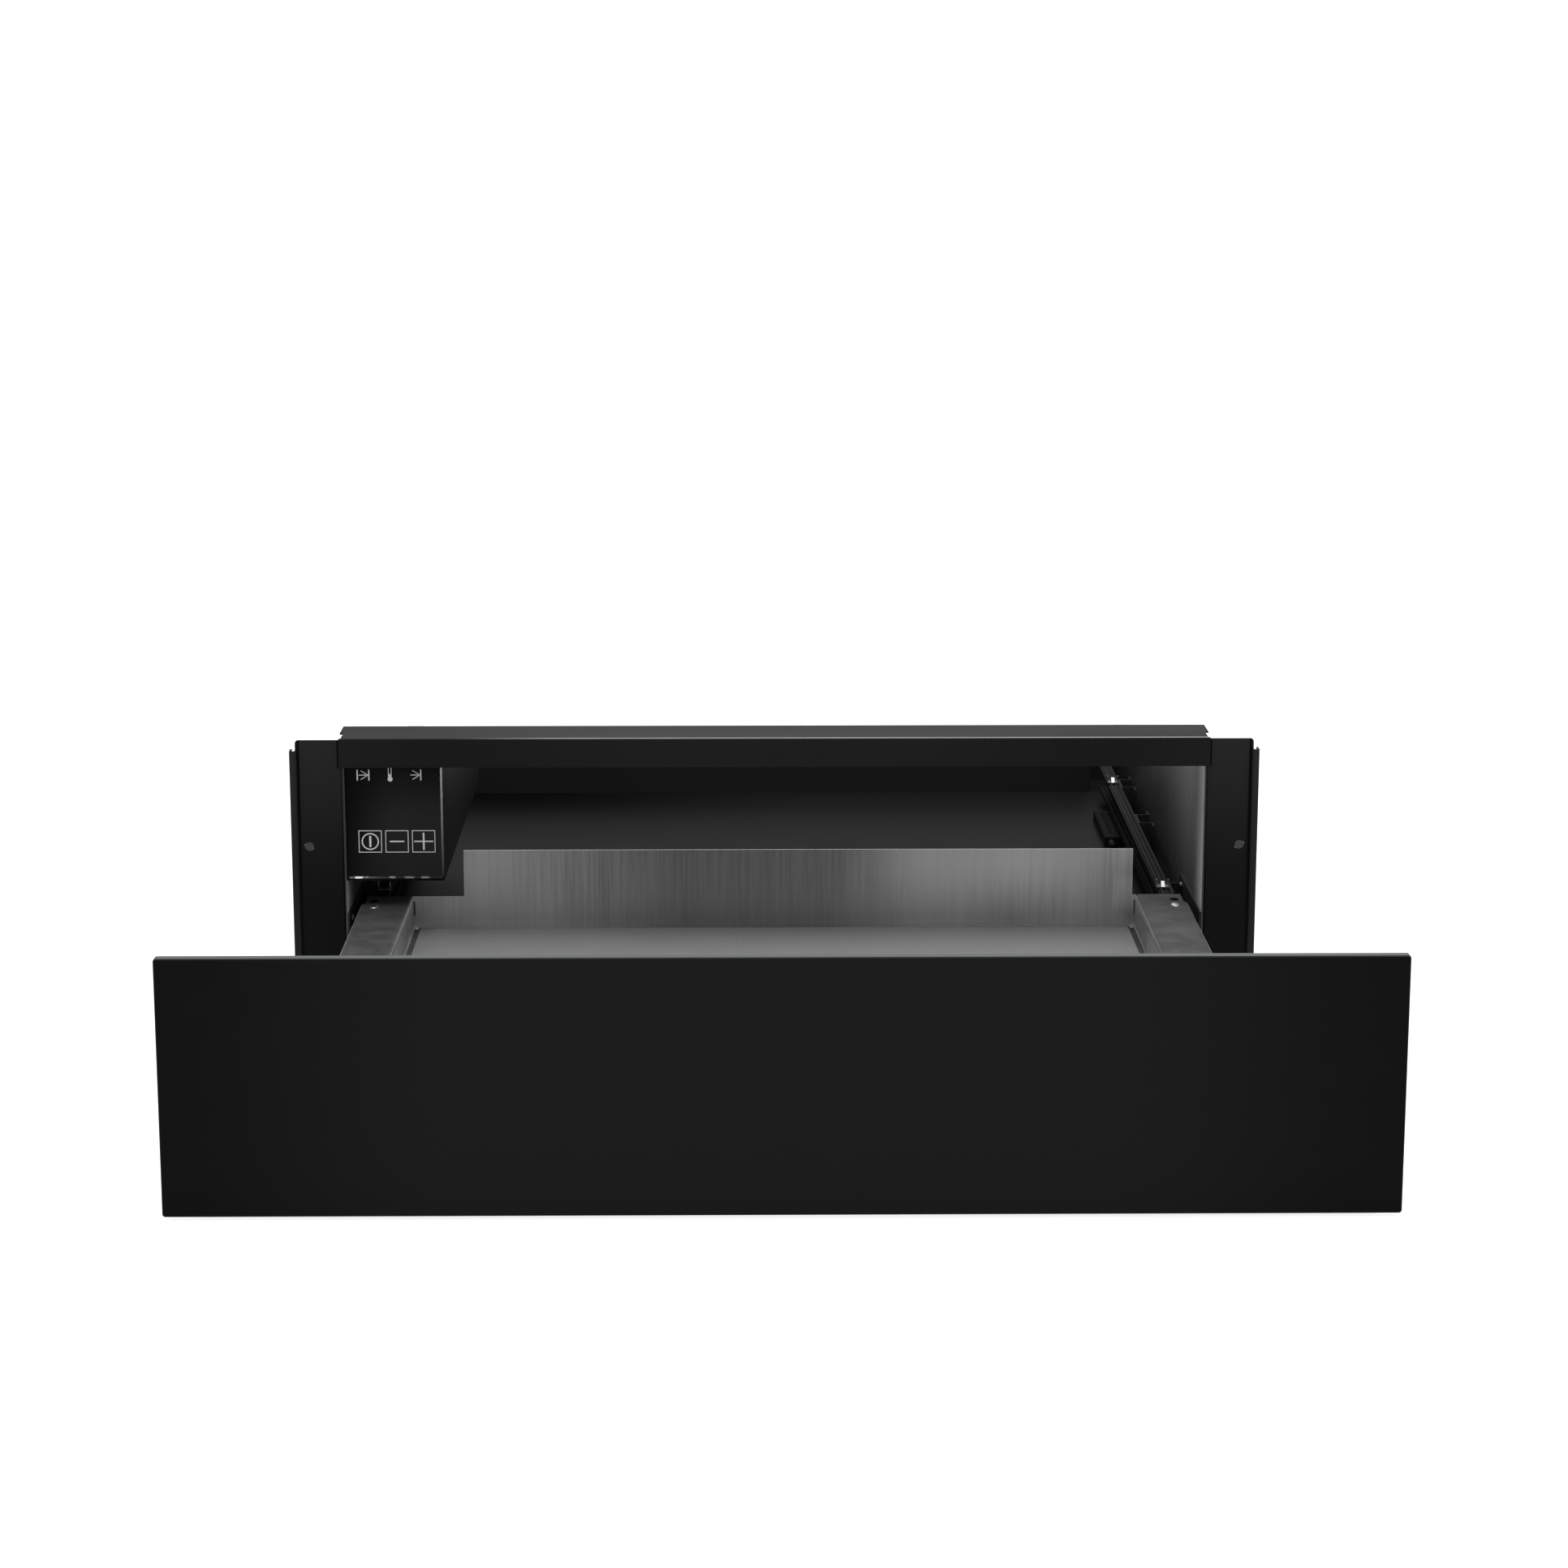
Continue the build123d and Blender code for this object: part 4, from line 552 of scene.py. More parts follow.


# ---------------------------------------------------------------- tray
# Broad reflections painted into the raised wall, as rising and falling ramps across it, in metres
WALL_DARK_REFLECTION = ((-0.15, -0.05), (0.02, 0.1))
WALL_BRIGHT_REFLECTION = ((0.03, 0.1), (0.17, 0.23))
WALL_BRIGHT_REFLECTION_LEFT = (-0.19, -0.12)
WALL_GLINT = (0.203, 0.213)
GLINT_HEIGHT = ((0.022, 0.034), (0.042, 0.052))
WALL_HEIGHT = (0.02, 0.06)
WALL_FOOT_LIGHT = (0.0165, 0.019)     # painted light makes the raised wall lighter below this
FLOOR_TOP = (0.0175, 0.024)     # the well's floor is duller and has no brush relief
RIM_HEIGHT = 0.0646             # cut edge on top of the raised wall
HAIR, DRAWN, SHEEN, CLOUD = 1500.0, 420.0, 16.0, 60.0
HAIR_UP, DRAWN_UP, SHEEN_UP = (1, 1, 0.01), (1, 1, 0.035), (1, 1, 0.3)
HAIR_IN = (1, 0.012, 1)         # brush lines run up the wall, and inwards on what lies flat
MAT_DUST = 40.0
MAT_RELIEF = 0.35 * MM

# Millimetres on the tray
RAISED_WALL = (-190.5, 219.8)
WALL_SHEET = 0.8
CORNER_SKIN = 0.03
CORNER_EASE = 0.12
POCKET_INSET = (8.0, 13.0)      # from the ledge's outer side and from the raised wall
BEAD_SHIFT, BEAD_INSET = 1.1, 26.5
# Sizes of the beads, whose light steel is a painted highlight, and of the dark domes of painted
# shade
BEAD_SIZE = (2.6, 4.1, 0.8)
POCKET_SHADE_SIZE = (2.8, 3.6, 0.25)


class DRAWER_OT_tray(DrawerOperator, bpy.types.Operator):
    """Folded steel tray and its patterned mat"""

    bl_idname = "drawer.tray"
    bl_label = "Tray and mat"

    def execute(self, context):
        brushed_steel = self.tray_steel()
        dress(["tray"], brushed_steel)
        self.tray_details(brushed_steel)
        dress(["tray_mat"], self.mat_rubber())
        return {"FINISHED"}

    def tray_steel(self):
        colour = tuple(self.look.tray_colour)
        f = Finish("tray_steel")
        x, _, z = f.axes(f.place())
        upright = f.facing("Y").ramp(0.4, 0.8)
        flat = f.facing("Z").ramp(0.5, 0.9)
        height = z.ramp(*WALL_HEIGHT)
        above_floor = z.ramp(*FLOOR_TOP)

        hair = f.noise(HAIR, detail=3.0, rough=0.6, stretch=HAIR_UP)
        drawn = f.noise(DRAWN, detail=4.0, rough=0.6, stretch=DRAWN_UP)
        sheen = f.noise(SHEEN, detail=2.0, rough=0.5, stretch=SHEEN_UP)
        hair_flat = f.noise(HAIR, detail=3.0, rough=0.6, stretch=HAIR_IN)
        cloud = f.noise(CLOUD, detail=5.0, rough=0.65)
        brushed = hair * 0.45 + drawn * 0.55
        lines = (brushed - 0.5) * (height * 0.9 + 0.5) + 0.47
        streak = upright * lines + (1 - upright) * (hair_flat * 0.5 + cloud * 0.5)

        # Painted reflections, bright and dark, and a painted glint on the raised wall.
        bright_reflection = x.band(*WALL_BRIGHT_REFLECTION) + (1 - x.ramp(*WALL_BRIGHT_REFLECTION_LEFT)) * 0.6
        # Painted light along the foot of the raised wall.
        foot = 1 - z.ramp(*WALL_FOOT_LIGHT)
        glint = x.ramp(*WALL_GLINT) * z.band(*GLINT_HEIGHT) * upright
        dark_reflection = x.band(*WALL_DARK_REFLECTION) * upright
        rim = (z > RIM_HEIGHT) * flat
        tone = f.mix(streak.ramp(0.3, 0.62), shade(colour, 0.72), shade(colour, 1.12))
        tone = f.mix(bright_reflection * height * upright * 0.75, tone, shade(colour, 1.95))
        tone = f.mix(foot * upright * 0.5, tone, shade(colour, 1.5))
        tone = f.mix(glint * (brushed.ramp(0.4, 0.6) * 0.4 + 0.4), tone, grey(0.95))
        tone = f.mix(sheen.ramp(0.35, 0.65) * 0.35 * upright, tone, shade(colour, 1.3))
        tone = f.mix(dark_reflection * 0.6, tone, shade(colour, 0.35))
        # Flat faces take a far darker copy of the steel: painted shade, mottled at random.
        patchy_painted_light = cloud.ramp(0.35, 0.65) * 0.6 + hair_flat * 0.4
        tone = f.mix(flat, tone, f.mix(patchy_painted_light, shade(colour, 0.13), shade(colour, 0.235)))
        f.set(
            Base_Color=f.mix(rim, tone, grey(0.8)),
            Metallic=1.0,
            Roughness=streak * 0.16 + flat * 0.3 + (1 - above_floor) * 0.2 + 0.24,
        )
        f.bump(streak * above_floor, strength=0.3, distance=SHEET_RELIEF)
        return f.material

    def tray_details(self, brushed_steel):
        """Squared corners of the raised wall; pressed beads, lit by a painted highlight, and dark
        domes of painted shade on the ledges.
        """
        high = span("tray")[1]
        corners = bmesh.new()
        reach = self.sizes.corner_reach / MM
        start, end = RAISED_WALL
        front, back = high.y - WALL_SHEET - CORNER_SKIN, high.y + CORNER_SKIN
        for left, right in ((start, start + reach), (end - reach, end)):
            block(corners, (left, front, high.z - reach), (right, back, high.z), CORNER_EASE)
        link(corners, "wall_corners", "drawer", brushed_steel)

        ledge = self.sizes.ledge_height / MM
        beads, pocket_shades = bmesh.new(), bmesh.new()
        for way in SIDES.values():
            x = way * (high.x - POCKET_INSET[0])
            dome(beads, (x - way * BEAD_SHIFT, high.y - BEAD_INSET, ledge), BEAD_SIZE)
            dome(pocket_shades, (x, high.y - POCKET_INSET[1], ledge), POCKET_SHADE_SIZE)
        # The beads' steel is far lighter than the ledges': a painted highlight. The dark domes are
        # painted shade where the ledges' pressed pockets lie.
        bead_highlight = steel("bead_painted_highlight", grey(0.8), rough=0.3, along="Y")
        link(beads, "ledge_beads", "drawer", bead_highlight, smooth=True)
        pocket_shade = plastic("pocket_painted_shade", grey(0.002), rough=0.6, shine=0.01)
        link(pocket_shades, "ledge_pocket_shades", "drawer", pocket_shade, smooth=True)

    def mat_rubber(self):
        """Raised diamonds between grooves laid at 45 degrees."""
        colour = tuple(self.look.mat_colour)
        pitch = self.sizes.mat_pitch
        f = Finish("mat_rubber")
        x, y, _ = f.axes(f.place(turn=(0, 0, math.radians(45))))
        knob = x.wave(pitch).lesser(y.wave(pitch)).ramp(0.15, 0.55)
        dust = f.noise(MAT_DUST, detail=4.0)
        f.set(
            Base_Color=f.mix(knob * 0.85 + dust * 0.15, shade(colour, 0.5), shade(colour, 1.35)),
            Roughness=dust * 0.15 + 0.48,
        )
        f.bump(knob, strength=0.6, distance=MAT_RELIEF)
        return f.material


# ---------------------------------------------------------------- body
# Millimetres: the lip of a flange, lighter by painted light, and the groove beside it, darker by
# painted shadow, measured from its outer side; the painted shadow beside the end of the bar; the
# painted highlight along the bar's front bend
LIP_WIDTH, LIP_GROOVE = 4.4, 6.0
BAR_SHADOW_WIDTH, BAR_SHADOW_DROP = 1.2, 0.5
HIGHLIGHT_WIDTH = 2.2

# Metres, across the body (X), into it (Y) or up (Z)
# Where light, shade and highlights are painted on the flanges, bar, plate, floor and walls
FLANGE_TOP_LIGHT = (0.02, 0.15)
HIGHLIGHT_START = (-0.2, -0.12)
BAR_MIDDLE_LIGHT = (0.06, 0.24)
PLATE_LEFT_SHADE = (-0.27, -0.13)
PAN_MOUTH_SHADE = (0.24, 0.46)
PAN_SHADOW = (-0.2, 0.05)
WALL_INNER = 0.26
WALL_DEEP_SHADE = (-0.03, 0.2)
WALL_MOUTH_LIGHT = (-0.032, 0.012)
WALL_LOW_SHADE = (0.026, 0.085)
LIT_ABOVE_RIGHT, LIT_ABOVE_LEFT = 0.031, 0.052

# Noise scales: patches in the bar's painted highlight, then the floor's film and grain and the
# walls' cloud and spangle
HIGHLIGHT_PATCH = 60.0
PAN_FILM, PAN_GRAIN = 20.0, 500.0
WALL_CLOUD, WALL_SPANGLE = 12.0, 140.0


class DRAWER_OT_body(DrawerOperator, bpy.types.Operator):
    """Walls, floor, flanges, bar and duct of the body"""

    bl_idname = "drawer.body"
    bl_label = "Body"

    def execute(self, context):
        colour = tuple(self.look.paint_colour)
        dress(pair("front_flange"), self.flange_paint(colour))
        dress(["top_bar"], self.bar_paint(colour))
        dress(["top_plate"], self.plate_paint(colour))
        dress(["base_pan"], self.floor_enamel(colour))
        dress(pair("side_wall") + ["rear_panel"], self.wall_steel(colour))
        dress(pair(*BRACKETS), paint("bracket_paint", shade(colour, 3.5), shine=0.1))
        dress(["duct_front", "duct_cover"], paint("duct_paint", shade(colour, 1.8), rough=0.55))
        dress(["mains_gland"], plastic("gland_plastic", grey(0.02)))
        return {"FINISHED"}

    def flange_paint(self, colour):
        """Lighter towards the top and on the lip, painted light; painted shadow in the groove and
        beside the end of the bar.
        """
        lip = span("front_flange_right")[1].x
        bar_low, bar_high = span("top_bar")
        f = Finish("flange_paint")
        x, _, z = f.axes(f.place())
        across = abs(x)
        # Painted shadow beside the end of the bar and in the groove beside the lip.
        beside_bar = (across > bar_high.x * MM) * (across < (bar_high.x + BAR_SHADOW_WIDTH) * MM)
        bar_shadow = beside_bar * (z > (bar_low.z - BAR_SHADOW_DROP) * MM)
        groove = (across > (lip - LIP_GROOVE) * MM) * (across < (lip - LIP_WIDTH) * MM)
        # Painted light: lighter towards the top, and on the lip's face.
        tone = f.mix(z.ramp(*FLANGE_TOP_LIGHT) ** 1.3, shade(colour, 0.35), shade(colour, 3.4))
        tone = f.mix((across > (lip - LIP_WIDTH) * MM) * 0.45, tone, shade(colour, 4.0))
        return f.coat(f.mix(bar_shadow + groove, tone, shade(colour, 0.08)), rough=0.3, shine=0.05)

    def bar_paint(self, colour):
        """Black, with painted light in the middle and a painted highlight where the top bends down
        to the front.
        """
        f = Finish("bar_paint")
        x, y, _ = f.axes(f.place())
        # Painted highlight along the front bend, fading out to the left in patches; painted light
        # in the middle of the bar.
        edge = (f.normal("Z") > 0.75) * (y < (span("top_bar")[0].y + HIGHLIGHT_WIDTH) * MM)
        patchy_painted_light = x.ramp(*HIGHLIGHT_START) * (f.noise(HIGHLIGHT_PATCH) * 0.4 + 0.75)
        tone = f.mix(f.noise(COAT_BLOTCH, detail=4.0), shade(colour, 1.9), shade(colour, 2.3))
        tone = f.mix(1 - abs(x).ramp(*BAR_MIDDLE_LIGHT), tone, shade(colour, 3.6))
        return f.coat(f.mix(edge * patchy_painted_light, tone, grey(0.2)), rough=0.3, shine=0.041)

    def plate_paint(self, colour):
        """Black, with painted shade at the left end."""
        f = Finish("plate_paint")
        painted_light_ramp = f.axes(f.place())[0].ramp(*PLATE_LEFT_SHADE)
        tone = f.mix(painted_light_ramp, shade(colour, 0.5), shade(colour, 2.1))
        return f.coat(tone, rough=0.34, shine=0.066, spread=0.06)

    def floor_enamel(self, colour):
        """Painted shade near the mouth and a painted shadow of the control housing at the left;
        lighter towards the duct.
        """
        f = Finish("floor_enamel")
        x, y, _ = f.axes(f.place())
        film = f.noise(PAN_FILM, detail=4.0)
        # Painted shadow of the control housing at the left, and painted shade near the mouth that
        # lifts towards the duct.
        shadow = (1 - x.ramp(*PAN_SHADOW)) * 0.82
        enamel_with_shade = f.mix(y.ramp(*PAN_MOUTH_SHADE), shade(colour, 0.3), shade(colour, 1.4))
        f.set(
            Base_Color=f.mix(shadow, enamel_with_shade, shade(colour, 0.03)),
            Roughness=film * 0.1 + 0.4,
            Specular_IOR_Level=0.055,
        )
        f.bump(f.noise(PAN_GRAIN, detail=2.0), strength=0.3, distance=COAT_RELIEF)
        return f.material

    def wall_steel(self, paint_colour):
        """Spangled zinc, painted where it faces forwards or back.

        Inside, painted light makes it bright at the mouth, and painted shade makes it dark further
        back and below.
        """
        base = tuple(self.look.wall_colour)
        f = Finish("wall_steel")
        x, y, z = f.axes(f.place())
        cloud = f.noise(WALL_CLOUD, detail=4.0)
        spangle = f.grains(WALL_SPANGLE)
        end = f.facing("Y") > 0.7
        inner = abs(x) < WALL_INNER
        # Painted shade further back and low down inside; painted light at the mouth, on the right
        # wall above 31 mm and on the left below 52 mm.
        deep_shade = y.ramp(*WALL_DEEP_SHADE) * inner
        low_shade = (1 - z.ramp(*WALL_LOW_SHADE)) * inner
        open_part = (x > 0) * (z > LIT_ABOVE_RIGHT) + (x < 0) * (z < LIT_ABOVE_LEFT)
        lit = (1 - y.ramp(*WALL_MOUTH_LIGHT)) * inner * open_part
        coat_with_painted_light = f.mix(spangle * 0.5 + cloud * 0.5, shade(base, 0.95), shade(base, 1.25))
        coat_with_painted_light = f.mix(deep_shade, coat_with_painted_light, shade(base, 0.2))
        coat_with_painted_light = f.mix(low_shade * 0.6, coat_with_painted_light, shade(base, 0.02))
        coat_with_painted_light = f.mix(lit * 0.75, coat_with_painted_light, WHITE)
        f.set(
            Base_Color=f.mix(end, coat_with_painted_light, paint_colour),
            Metallic=(1 - end) * 0.6,
            Roughness=spangle * 0.06 + cloud * 0.1 + 0.4,
        )
        f.bump(spangle, strength=0.1, distance=SHEET_RELIEF)
        return f.material


# ---------------------------------------------------------------- slides
RIDGE_PITCH = 0.0029            # in metres
RAIL_LINES, RAIL_GREASE = 500.0, 40.0
RAIL_RELIEF = 0.15 * MM


class DRAWER_OT_slides(DrawerOperator, bpy.types.Operator):
    """Three-part slides with ball cages and spring clips"""

    bl_idname = "drawer.slides"
    bl_label = "Slides"

    def execute(self, context):
        rail = Finish("slide_steel")
        x = rail.axes(rail.place())[0]
        # Light lines on the ridge tops are painted highlights; the ridges also give the bump.
        ridge_and_highlight = abs(x).wave(RIDGE_PITCH).ramp(0.62, 0.9) * rail.facing("Z")
        drawn = rail.noise(RAIL_LINES, detail=4.0, rough=0.65, stretch=(1, 0.02, 1))
        grease = rail.noise(RAIL_GREASE, detail=4.0, rough=0.6, stretch=(1, 0.3, 1))
        dark, light = grey(0.003, 0.0001), grey(0.026, 0.0005)
        rail.set(
            Base_Color=rail.mix(ridge_and_highlight * 0.8 + drawn * 0.1, dark, light),
            Roughness=drawn * 0.12 + grease * 0.16 + 0.26,
            Specular_IOR_Level=0.02,
        )
        rail.bump(ridge_and_highlight + drawn * 0.2, strength=0.5, distance=RAIL_RELIEF)
        dress(pair("cabinet_rail", "middle_rail", "drawer_rail"), rail.material)
        cage = steel("cage_steel", grey(0.5), rough=0.25, along="Y")
        dress(pair("outer_cage", "inner_cage"), cage)
        clip = steel("clip_spring_steel", grey(0.25, -0.005), rough=0.36, along="Y")
        dress(pair("rail_clips"), clip)
        return {"FINISHED"}


# ---------------------------------------------------------------- controls
# Printed symbols, in millimetres: places from the middle of the drawer and heights above the
# cabinet's floor; half widths and half heights of single lines; a ring's radius and line
PRINT_HEIGHT = 0.12
KEY_PLACES = (-244.8, -228.65, -212.5)
KEY_LEVEL = 76.1
KEY_SHAPE = 0.49                # half a key's height to its width
POWER_RING = (5.24, 0.75)
POWER_STEM = (0.6, 3.45)
MINUS = (4.35, 0.42)
PLUS = (5.8, 0.4)
PLUS_STEM = (-213.05, -212.0, 5.35)
TOP_LEVEL = 117.2
STOP_SIDES, STOP_HALF = (0.1, 0.83), 3.35
STOPS = (-252.15, -245.15, -213.9)
ARROWS = ((-250.8, -245.1), (-219.7, -213.9))
SHAFT_HALF, SHAFT_SHORT = 0.24, 0.2
ARROW_BACK, ARROW_SPREAD, ARROW_LINE = 4.5, 2.75, 0.42
BULB = (-231.95, 2.5, 1.5)      # of the thermometer: place, drop below the row, radius
STEM_LINES, STEM_LINE = (-233.15, -231.45), 0.42
STEM_FOOT, STEM_FILL, STEM_TOP = 1.2, 0.6, 123.8
RING_STEPS = 48

# In metres across and up, where the touch panel's painted light lies
TOUCH_LIGHT_ACROSS = (-0.262, -0.222)
TOUCH_SHADE_TOP = (0.085, 0.12)

TOUCH_FILM, INK_GRAIN = 30.0, 300.0
CHROME_RUB, CHROME_SPOT = 700.0, 160.0
SPOT_HEIGHT = 0.2               # of the bezel's bright spots above its lower edge, in millimetres
HOUSING_GRAIN = 700.0
BOARD_LANES, BOARD_DULL = 900.0, 200.0
BOARD_GREENS = ((0.012, 0.09, 0.03), (0.03, 0.2, 0.07))


class DRAWER_OT_controls(DrawerOperator, bpy.types.Operator):
    """Touch panel with printed keys, bezel, housing and boards"""

    bl_idname = "drawer.controls"
    bl_label = "Controls"

    def execute(self, context):
        low, high = span("touch_panel")
        dress(["touch_panel"], self.touch_gloss())
        dress(["panel_bezel"], self.bezel_chrome(low.z, high.z))
        colour = grey(0.0062, 0.0001)
        housing = paint("housing_plastic", colour, rough=0.42, grain=HOUSING_GRAIN, shine=0.05)
        dress(["control_housing"], housing)
        board = Finish("circuit_board")
        lane = board.grains(BOARD_LANES).ramp(0.4, 0.6)
        board.set(
            Base_Color=board.mix(lane, *BOARD_GREENS),
            Roughness=board.noise(BOARD_DULL) * 0.2 + 0.3,
        )
        dress(["touch_board", "power_board"], board.material)
        self.print_symbols(low.y)
        return {"FINISHED"}

    def touch_gloss(self):
        """Near black, with painted light: a little lighter in the middle and towards the keys."""
        f = Finish("touch_gloss")
        film = f.noise(TOUCH_FILM, detail=4.0)
        x, _, z = f.axes(f.place())
        painted_light_ramp = x.ramp(*TOUCH_LIGHT_ACROSS) * (1 - z.ramp(*TOUCH_SHADE_TOP) * 0.6)
        f.set(
            Base_Color=f.mix(painted_light_ramp * 0.9 + film * 0.1, grey(0.0005), grey(0.022, 0.0003)),
            Roughness=film * 0.06 + 0.12,
            Specular_IOR_Level=0.03,
        )
        return f.material

    def bezel_chrome(self, bottom, top):
        """A painted reflection, brighter towards the top, with light spots along its lower edge.
        """
        f = Finish("bezel_chrome")
        z = f.axes(f.place())[2]
        rub = f.noise(CHROME_RUB, detail=2.0)
        # Painted reflection: the chrome is lighter the higher it lies.
        raised = z.ramp(bottom * MM, top * MM, smooth=False)
        patch = f.noise(CHROME_SPOT, detail=2.0).ramp(0.58, 0.68)
        spot = patch * (z < (bottom + SPOT_HEIGHT) * MM)
        f.set(
            Base_Color=f.mix(spot, f.mix(raised, grey(0.09), grey(0.8)), grey(0.7)),
            Metallic=1.0,
            Roughness=rub * 0.1 + 0.2,
        )
        return f.material

    def print_symbols(self, face):
        """Key squares and symbols, a thin layer on the panel's face."""
        bm = bmesh.new()
        line = self.sizes.symbol_line / MM
        key = self.sizes.key_size / MM
        behind, ahead = face + PRINT_HEIGHT, face - PRINT_HEIGHT

        def bar(x0, x1, z0, z1):
            block(bm, (x0, ahead, z0), (x1, behind, z1))

        def mark(x, z, half_width, half_height):
            """Level or upright line about its middle."""
            bar(x - half_width, x + half_width, z - half_height, z + half_height)

        def stroke(x0, z0, x1, z1, width):
            """Slanted line."""
            made = bmesh.ops.create_cube(bm, size=1.0)["verts"]
            length = math.hypot(x1 - x0, z1 - z0)
            bmesh.ops.scale(bm, vec=(length, 2 * PRINT_HEIGHT, width), verts=made)
            turn = Matrix.Rotation(-math.atan2(z1 - z0, x1 - x0), 3, "Y")
            bmesh.ops.rotate(bm, cent=(0, 0, 0), matrix=turn, verts=made)
            bmesh.ops.translate(bm, vec=((x0 + x1) / 2, face, (z0 + z1) / 2), verts=made)

        def ring(x, z, radius, width):
            """Round line: a flat rectangle spun about the panel's normal."""
            made = bmesh.ops.create_cube(bm, size=1.0)["verts"]
            bmesh.ops.scale(bm, vec=(width, 2 * PRINT_HEIGHT, 0.001), verts=made)
            bmesh.ops.translate(bm, vec=(x + radius - width / 2, face, z), verts=made)
            bmesh.ops.remove_doubles(bm, verts=made, dist=0.01)
            alive = [v for v in made if v.is_valid]
            bmesh.ops.spin(
                bm, geom=alive + edges_at(alive), cent=(x, face, z), axis=(0, 1, 0),
                angle=math.tau, steps=RING_STEPS, use_merge=True, use_duplicate=False,
            )

        for x in KEY_PLACES:
            left, right = x - key / 2, x + key / 2
            under, over = KEY_LEVEL - KEY_SHAPE * key, KEY_LEVEL + KEY_SHAPE * key
            bar(left, right, over - line, over)
            bar(left, right, under, under + line)
            bar(left, left + line, under + line, over - line)
            bar(right - line, right, under + line, over - line)
        power, minus, plus = KEY_PLACES
        ring(power, KEY_LEVEL, *POWER_RING)
        mark(power, KEY_LEVEL, *POWER_STEM)
        mark(minus, KEY_LEVEL, *MINUS)
        mark(plus, KEY_LEVEL, *PLUS)
        left, right, reach = PLUS_STEM
        bar(left, right, KEY_LEVEL + PLUS[1], KEY_LEVEL + reach)
        bar(left, right, KEY_LEVEL - reach, KEY_LEVEL - PLUS[1])

        for x in STOPS:
            left, right = (x + side for side in STOP_SIDES)
            bar(left, right, TOP_LEVEL - STOP_HALF, TOP_LEVEL + STOP_HALF)
        for tail, tip in ARROWS:
            bar(tail, tip - SHAFT_SHORT, TOP_LEVEL - SHAFT_HALF, TOP_LEVEL + SHAFT_HALF)
            for way in (-1, 1):
                end = TOP_LEVEL + way * ARROW_SPREAD
                stroke(tip, TOP_LEVEL, tip - ARROW_BACK, end, ARROW_LINE)
        x, drop, radius = BULB
        rod(bm, (x, ahead, TOP_LEVEL - drop), (x, behind, TOP_LEVEL - drop), radius)
        for x in STEM_LINES:
            bar(x, x + STEM_LINE, TOP_LEVEL - STEM_FOOT, STEM_TOP)
        left, right = STEM_LINES
        bar(left + STEM_LINE, right, TOP_LEVEL - STEM_FOOT, TOP_LEVEL + STEM_FILL)

        ink = Finish("symbol_ink")
        tone = ink.noise(INK_GRAIN)
        white = tuple(self.look.symbol_colour)
        ink.set(Base_Color=ink.mix(tone, shade(white, 0.9), white), Roughness=tone * 0.2 + 0.4)
        link(bm, "key_symbols", "housing", ink.material)


# ---------------------------------------------------------------- fan and heater
ELEMENT_SIDES = 24
BEND_STEPS = 24
HEAT_STAIN, SHEATH_GRAIN = 30.0, 900.0
SHEATH_BROWNS = ((0.12, 0.09, 0.07), (0.26, 0.23, 0.2))
BRASS = (0.7, 0.48, 0.2)


class DRAWER_OT_warmth(DrawerOperator, bpy.types.Operator):
    """Fan, motor, heating element and their fittings"""

    bl_idname = "drawer.warmth"
    bl_label = "Fan and heater"

    def execute(self, context):
        sheet = steel("duct_inner_steel", grey(0.4), rough=0.35, along="X")
        dress(["air_guide", "motor_saddle", "bearing_post", "heater_holders"], sheet)
        dress(["fan_rotor"], steel("rotor_aluminium", grey(0.6, 0.01), rough=0.35, along="X"))
        dress(["fan_motor"], paint("motor_paint", grey(0.2, 0.01)))
        dress(["bearing_bush"], steel("bush_brass", BRASS, rough=0.3, along="X"))
        dress(["thermal_cutout", "terminal_block"], plastic("pale_plastic", grey(0.6, -0.03)))
        dress(["temperature_sensor"], plastic("sensor_plastic", grey(0.03)))
        sheath = self.heater_sheath()
        dress(["heating_element"], sheath)
        self.hairpin(sheath)
        return {"FINISHED"}

    def heater_sheath(self):
        f = Finish("heater_sheath")
        heat = f.noise(HEAT_STAIN, detail=3.0)
        f.set(
            Base_Color=f.mix(heat, *SHEATH_BROWNS),
            Metallic=0.9,
            Roughness=heat * 0.2 + 0.35,
        )
        f.bump(f.noise(SHEATH_GRAIN), strength=0.2, distance=SHEET_RELIEF)
        return f.material

    def hairpin(self, sheath):
        """Round tube: out along the lower run, round the bend and back along the upper one."""
        low, high = span("heating_element")
        thick = (high.y - low.y) / 2
        middle = (low + high) / 2
        bend = (high.z - low.z) / 2 - thick
        bend_x = high.x - thick - bend
        bm = bmesh.new()
        turn = Matrix.Rotation(math.pi / 2, 4, "Y")
        start = tube(bm, (low.x, middle.y, low.z + thick), turn, thick, ELEMENT_SIDES)
        leg = draw_out(bm, start, (bend_x - low.x, 0, 0))
        back = swing(bm, leg, (bend_x, middle.y, middle.z), (0, 1, 0), -math.pi, BEND_STEPS)
        draw_out(bm, back, (low.x - bend_x, 0, 0))
        close_ends(bm)
        link(bm, "element_hairpin", "housing", sheath, True, ["heating_element"])


# ---------------------------------------------------------------- latch
SPRING_TURNS = 7
STEPS_PER_TURN = 24
WIRE_SIDES = 10


